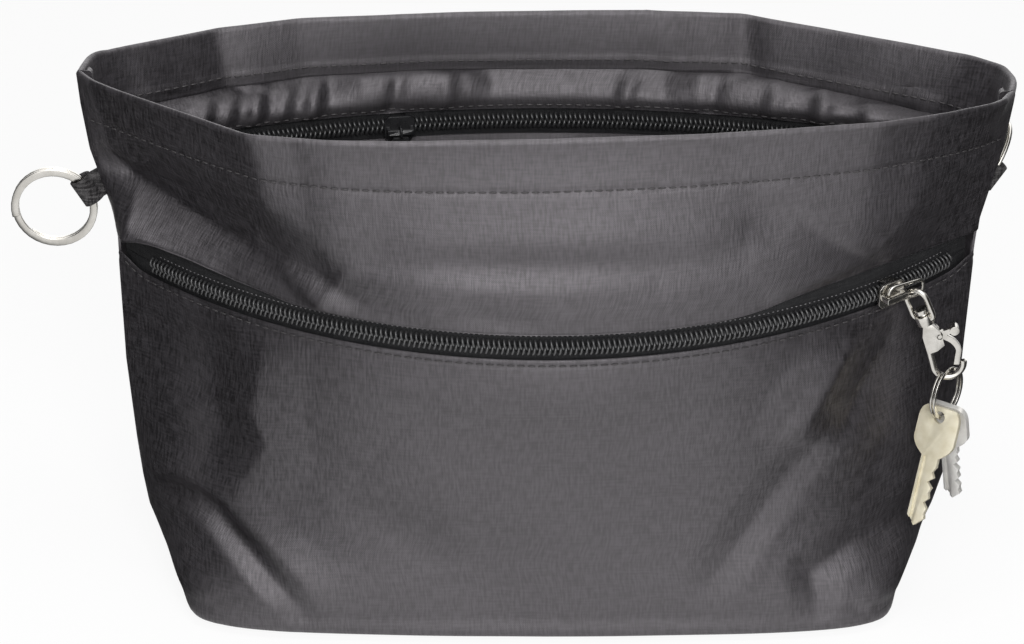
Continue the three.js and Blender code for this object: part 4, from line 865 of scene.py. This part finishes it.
def chain_points(path, sign):
    """Points at the coil's pitch along a zip, half a pitch apart on its two sides, with directions."""
    fine = np.linspace(CHAIN_FROM, CHAIN_TO, CHAIN_STEPS)
    run = run_along(path(fine, 0.0, 0.0))
    first = CHAIN_START if sign > 0 else CHAIN_START + COIL_PITCH / 2
    at = np.interp(np.arange(first, run[-1], COIL_PITCH), run, fine)
    along = path(at + NUDGE, 0.0, 0.0) - path(at - NUDGE, 0.0, 0.0)
    off = path(at, 0.0, 1.0) - path(at, 0.0, 0.0)
    along /= np.linalg.norm(along, axis=1, keepdims=True)
    off /= np.linalg.norm(off, axis=1, keepdims=True)
    return path(at, 0.0, TAPE / 2 + COIL_SEAT), along, off


def add_coil(name, path, sign, node):
    points, along, off = chain_points(path, sign)
    sizes = {
        "Reach": sign * (CHAIN_SPLIT + COIL_WIDTH - COIL_WIRE) * MM, "Overlap": -sign * COIL_OVERLAP * MM,
        "Loop height": (COIL_HEIGHT - COIL_SEAT) * MM, "Lean": COIL_LEAN * MM,
        "Wire radius": COIL_WIRE * MM, "Nylon": black_coil,
    }
    mesh = grown(name, zip_coil, [points], {"along": [along], "off_tape": [off]}, sizes, with_edges=False)
    coil = add_piece(name, mesh, "pouch")
    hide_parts(node)


def add_tape(name, path, places, node):
    """Tape as a closed strip, from places up and off the zip's arc, the chain's edge first."""
    rows = [path(chain_share, *place) for place in places]
    face = through(np.linspace(0, 1, len(rows)), rows, np.linspace(0, 1, TAPE_ROWS))
    out = normals_of(face)
    mesh = cloth_mesh(name, face + out * TAPE / 2, face - out * TAPE / 2)
    tape = add_piece(name, mesh, "pouch", zip_tape)
    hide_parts(node)


chain_share = np.linspace(0.004, 0.996, 121)
add_coil("front_coil_upper", front_zip, 1, "front_zip_coil_upper")
add_coil("front_coil_lower", front_zip, -1, "front_zip_coil_lower")
add_tape("front_tape_upper", front_zip, zip(TAPE_RAISES, TAPE_LEANS),
         "front_zip_tape_upper")
add_tape("front_tape_lower", front_zip, ((-0.15, 0.0), (-3.0, 0.0), (-6.0, 0.0), (-9.0, 0.15), (-12.5, 0.4)),
         "front_zip_tape_lower")

grey_thread = mottled(
    "grey_thread", (0.06, 0.058, 0.06), (0.2, 0.195, 0.2), THREAD_GRAIN, THREAD_ROUGHNESS)
SEWN = {"Pitch": COIL_PITCH * MM, "Stitch length": 0.7 * MM, "Thread width": 0.36 * MM, "Thread": grey_thread}
SEWN_RAISE = 3.3
sewn_share = np.linspace(0.06, 0.955, 401)
sewn_facing = front_zip(sewn_share, SEWN_RAISE, 1.0) - front_zip(sewn_share, SEWN_RAISE, 0.0)
sewn_row = front_zip(sewn_share, SEWN_RAISE, TAPE / 2), sewn_facing
add_stitches("front_tape_stitches", [sewn_row], SEWN)

# Back wall: the rear ripstop panel from base to rim, with the same turned-in hem. Standing open, it
# bends round the corners of a box, so its top edge runs in three nearly straight stretches.
BACK_HEIGHT = 168
BACK_STITCH_PULL, BACK_HOLD = 0.3, 0.08
back_rim = rim_line(
    [(-135, 0.2), (-133.5, 5), (-130.5, 13), (-115, 22.5), (-97, 33), (-73, 40.5), (-43, 43.5), (-10, 45),
     (30, 46.2), (59, 47), (86, 39), (105, 32.5), (124, 25), (133.5, 17.5), (136, 8), (135, 0.2)], 4,
    [-135, -98, -43, 28, 60, 87, 118, 135], [168, 166.2, 166.8, 166.8, 165.2, 163.3, 161.8, 161.5])
back_rows = [
    seam_to_seam(BACK, (FOOT_HALF[0], FOOT_HALF[0]), FOOT_HALF[1], FOOT_POWERS, 1.7),
    seam_to_seam(BACK, (108.8, 105.6), FOOT_HALF[1] + 2, BOX_POWERS, 9),
    seam_to_seam(BACK, (119.5, 116.8), 38.5, (3, 1.25), 34),
    seam_to_seam(BACK, (119.5, 119.5), 46.0, (3, 1.4), 112),
    back_rim,
]
back_levels = hemmed_levels(96, BACK_HEIGHT)
back_face = drawn_to_seams(through([0, 0.05, 0.2, 0.66, 1], back_rows, back_levels))
bx, bz = back_face[:, :, 0], back_face[:, :, 2]
back_below = back_rim[None, :, 2] - bz
BACK_FOLDS = [
    ([(-97, 170), (-95, 150), (-90, 128)], 5.0, 1.2),
    ([(59, 170), (61, 150), (66, 124)], 5.0, 1.2),
    ([(-124, 168), (-121, 150), (-115, 130)], 4.5, 1.0),
    ([(34, 168), (40, 152), (46, 138)], 6.0, -0.8),
    ([(110, 150), (112, 128), (104, 104)], 6.0, -1.6),
    ([(-60, 120), (-52, 86), (-58, 52)], 14.0, -2.2),
    ([(20, 100), (44, 70), (40, 36)], 16.0, -2.4),
    ([(-108, 70), (-92, 44), (-70, 22)], 7.0, -2.4),
    ([(112, 62), (96, 40), (78, 20)], 7.0, -2.4),
]
back_hold = rising(back_levels, 0, BACK_HOLD)[:, None] * seam_hold
bulge = folded(bx, bz, rumple(bx, bz, seed=23, scale=55, amount=0.5), [], BACK_FOLDS)
bulge = bulge * back_hold - BACK_STITCH_PULL * ridge(back_below - HEM_STITCH, STITCH_WIDTH)
bulge = bulge + BACK_FLARE * np.clip(1 - back_below / HEM_STITCH, 0, 1) ** 2 * back_hold
back_face = back_face - normals_of(back_face) * bulge[:, :, None]
back_out = -normals_of(back_face)
sink, thick = hem_depths(np.maximum(back_below, 0))
back_outer, back_inner = two_faces(BACK, back_face, back_out, sink, thick)
back_mesh = cloth_mesh("back_wall_cloth", back_outer, back_inner)
back_wall = add_piece("back_wall_cloth", back_mesh, "pouch", ripstop)
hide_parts("back_wall")
outside_row = line_on(back_outer, back_out, back_below, HEM_STITCH)
inside_row = line_on(back_inner, -back_out, back_below, HEM_STITCH)
add_stitches("back_hem_stitches", [outside_row, inside_row], STITCH)

# Inner pocket: a facing strip under the back hem and a larger panel below it, joined by a zip.
# Both lie loose against the back wall; the facing puckers where it is gathered to the tape.
INNER_ZIP_MIDDLE = (0, 21.55, 134.0)
INNER_ZIP_HALF_WIDTH, INNER_ZIP_BULGE = 105.0, 19.9
INNER_SPAN = (0.035, 0.965)
INNER_ROWS, INNER_HOLD = 64, 0.1
PUCKER_LEAN, PUCKER_HEIGHT, PUCKER_WIDTH, PUCKER_ROUND = 0.3, 142, 2.8, 0.8
BILLOW_DROOP = 2.2
FACING_STITCH = 0.12


def inner_zip(share, raise_up, lift):
    return zip_arc(
        INNER_ZIP_MIDDLE, INNER_ZIP_HALF_WIDTH, INNER_ZIP_BULGE, (0, 1, 0), -1, share, raise_up, lift)


def back_at(height, depth, below_rim=False):
    """Row inside the back wall at one height, or one drop below the rim, set in from its face."""
    rows = []
    for col in np.linspace(*INNER_SPAN, COLUMNS) * (COLUMNS - 1):
        a = int(min(math.floor(col), COLUMNS - 2))
        part = col - a
        column, normal = (grid[:, a] * (1 - part) + grid[:, a + 1] * part for grid in (back_face, back_out))
        level = column[-1, 2] - height if below_rim else height
        point, facing = (
            np.array([np.interp(level, column[:, 2], source[:, k]) for k in range(3)])
            for source in (column, normal))
        rows.append(point - facing * depth)
    return np.asarray(rows)


facing_rows = [
    inner_zip(share, CLOTH_EDGE, CLOTH_FACE),
    inner_zip(share, CLOTH_EDGE + 4.0, CLOTH_FACE + 0.9),
    back_at(HEM_DEPTH - 0.3, 1.7, below_rim=True),
]
facing_levels = np.unique(np.concatenate([np.linspace(0, 1, 24), [0.01, 0.03, 0.06]]))
facing_face = through([0, 0.35, 1], facing_rows, facing_levels)
qx, qz = facing_face[:, :, 0], facing_face[:, :, 2]
PUCKERS = [
    (-101, 2.0), (-94, 1.6), (-86, 2.6), (-78, 1.6), (-69, 2.4), (-45, -1.4), (-30, 1.2), (24, 1.4),
    (50, -1.2), (68, 1.4), (82, 2.2), (95, 1.2),
]
pucker = np.zeros_like(qx)
for place, amount in PUCKERS:
    lean = place + (qz - PUCKER_HEIGHT) * PUCKER_LEAN
    pucker += amount * ridge(qx - lean, PUCKER_WIDTH)
billow = np.interp(
    qx, [-64, -54, -34, -22, -16, 36, 46, 62, 76, 92], [0, 3.6, 4.0, 2.2, 0, 0, 3.4, 3.8, 2.6, 0.6])
pucker *= np.sin(np.pi * facing_levels)[:, None] ** PUCKER_ROUND
pucker += billow * np.sin(np.pi * facing_levels ** BILLOW_DROOP)[:, None] ** PUCKER_ROUND
facing_face = facing_face + normals_of(facing_face) * pucker[:, :, None]
facing_out = normals_of(facing_face)
facing_mesh = cloth_mesh("inner_facing_cloth", facing_face, facing_face - facing_out * CLOTH)
inner_facing = add_piece("inner_facing_cloth", facing_mesh, "pouch", ripstop)
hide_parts("inner_facing")

inner_rows = [
    back_at(2.6, 4.6),
    back_at(34, 5.0),
    back_at(90, 5.0),
    inner_zip(share, -CLOTH_EDGE - 8.0, CLOTH_FACE + 1.4),
    inner_zip(share, -CLOTH_EDGE, CLOTH_FACE),
]
inner_levels = np.linspace(0, 1, INNER_ROWS)
inner_face = through([0, 0.26, 0.7, 0.93, 1], inner_rows, inner_levels)
sway = rumple(inner_face[:, :, 0], inner_face[:, :, 2], seed=31, scale=40, amount=0.5)
sway = sway * held_at_ends(inner_levels, INNER_HOLD)[:, None]
inner_face = inner_face + normals_of(inner_face) * sway[:, :, None]
inner_mesh = cloth_mesh("inner_pocket_cloth", inner_face, inner_face - normals_of(inner_face) * CLOTH)
inner_pocket = add_piece("inner_pocket_cloth", inner_mesh, "pouch", ripstop)
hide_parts("inner_pocket_panel")

add_coil("inner_coil_upper", inner_zip, 1, "inner_zip_coil_upper")
add_coil("inner_coil_lower", inner_zip, -1, "inner_zip_coil_lower")
add_tape("inner_tape_upper", inner_zip, ((0.15, 0.0), (2.2, 0.0), (4.4, -0.1), (6.6, -0.4), (8.8, -0.9)),
         "inner_zip_tape_upper")
add_tape("inner_tape_lower", inner_zip, ((-0.15, 0.0), (-3.0, 0.0), (-6.0, 0.0), (-9.0, 0.0), (-12.5, 0.0)),
         "inner_zip_tape_lower")
facing_part = np.broadcast_to(facing_levels[:, None], qx.shape)
facing_row = line_on(facing_face, facing_out, facing_part, FACING_STITCH)
add_stitches("inner_facing_stitches", [facing_row], STITCH)

# Hardware: nickel-plated slider, rings and swivel clip, a black enamelled inner slider and pull, two
# keys, and the folded webbing tabs that hold the side rings. The metal edges are rounded by tumbling
# and plating.
EASE_SEGMENTS = 2
METAL_GRAIN, METAL_STOPS = 260, (0.3, 0.7)
EASED_EDGE, SHARP_EDGE = math.radians(25), math.radians(40)
WELD = 1e-6


def metal(name, dark, light, roughness, metallic=1.0):
    """Plated or painted metal with faint handling marks."""
    return mottled(
        name, dark, light, METAL_GRAIN, roughness, detail=4, stops=METAL_STOPS, metallic=metallic)


nickel = metal("nickel_plate", (0.55, 0.53, 0.49), (0.72, 0.70, 0.66), (0.14, 0.3))
spring_steel = metal("spring_steel", (0.35, 0.35, 0.35), (0.5, 0.5, 0.5), (0.25, 0.4))
FINISHES = {
    "nickel": nickel,
    "black_enamel": metal("black_enamel", (0.008, 0.008, 0.009), (0.02, 0.02, 0.021), (0.2, 0.35), 0.0),
    "pale_brass": metal("pale_brass", (0.66, 0.60, 0.44), (0.80, 0.75, 0.60), (0.3, 0.45), 0.45),
    "key_nickel": metal("key_nickel", (0.60, 0.585, 0.56), (0.74, 0.73, 0.70), (0.3, 0.45), 0.45),
    "webbing": woven(
        "dark_webbing", dark=(0.013, 0.0125, 0.013), light=(0.07, 0.067, 0.068),
        yarns=900, warp=1.3, weft=1.6, roughness=(0.85, 0.7), specular=0.2, bump=0.8),
}


def eased(node, body, slot, width):
    """Copy of a rigid node with its edges rounded, standing in its place."""
    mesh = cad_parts[node].data.copy()
    mesh.name = node + "_eased"
    mesh.materials.clear()
    piece = add_piece(mesh.name, mesh, body, FINISHES[slot])
    piece.modifiers.new("merge", "WELD").merge_threshold = WELD
    edge = piece.modifiers.new("round", "BEVEL")
    edge.width = width * MM
    edge.segments = EASE_SEGMENTS
    edge.limit_method = "ANGLE"
    edge.angle_limit = EASED_EDGE
    bpy.context.view_layer.update()
    evaluated = piece.evaluated_get(bpy.context.evaluated_depsgraph_get())
    made = bpy.data.meshes.new_from_object(evaluated)
    piece.modifiers.clear()
    piece.data = made
    made.shade_smooth()
    made.set_sharp_from_angle(angle=SHARP_EDGE)
    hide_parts(node)
    return made


def lay_weave(mesh):
    """UV map in metres for flat webbing: along the tab and up it."""
    points = np.empty(3 * len(mesh.vertices), np.float32)
    mesh.vertices.foreach_get("co", points)
    corners = np.empty(len(mesh.loops), np.int32)
    mesh.loops.foreach_get("vertex_index", corners)
    flat = points.reshape(-1, 3)[corners][:, [0, 2]]
    mesh.uv_layers.new(name="cut").data.foreach_set("uv", flat.reshape(-1))


for node, body, slot, width in (
        ("front_slider", "front_slider", "nickel", 0.25),
        ("inner_slider", "inner_slider", "black_enamel", 0.25),
        ("front_pull_ring", "front_pull", "nickel", 0.12),
        ("inner_pull", "inner_pull", "black_enamel", 0.2),
        ("clip_eye", "clip_eye", "nickel", 0.12),
        ("clip_hook", "clip_hook", "nickel", 0.12),
        ("clip_gate", "clip_gate", "nickel", 0.12),
        ("key_ring", "key_ring", "nickel", 0.12),
        ("front_key", "front_key", "pale_brass", 0.2),
        ("rear_key", "rear_key", "key_nickel", 0.2),
        ("left_split_ring", "left_ring", "nickel", 0.2),
        ("right_split_ring", "right_ring", "nickel", 0.2)):
    eased(node, body, slot, width)
for tab in ("left_tab", "right_tab"):
    lay_weave(eased(tab, tab, "webbing", 0.3))
for node, finish in (("clip_gate_pin", nickel), ("clip_gate_spring", spring_steel)):
    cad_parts[node].data.materials.clear()
    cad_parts[node].data.materials.append(finish)
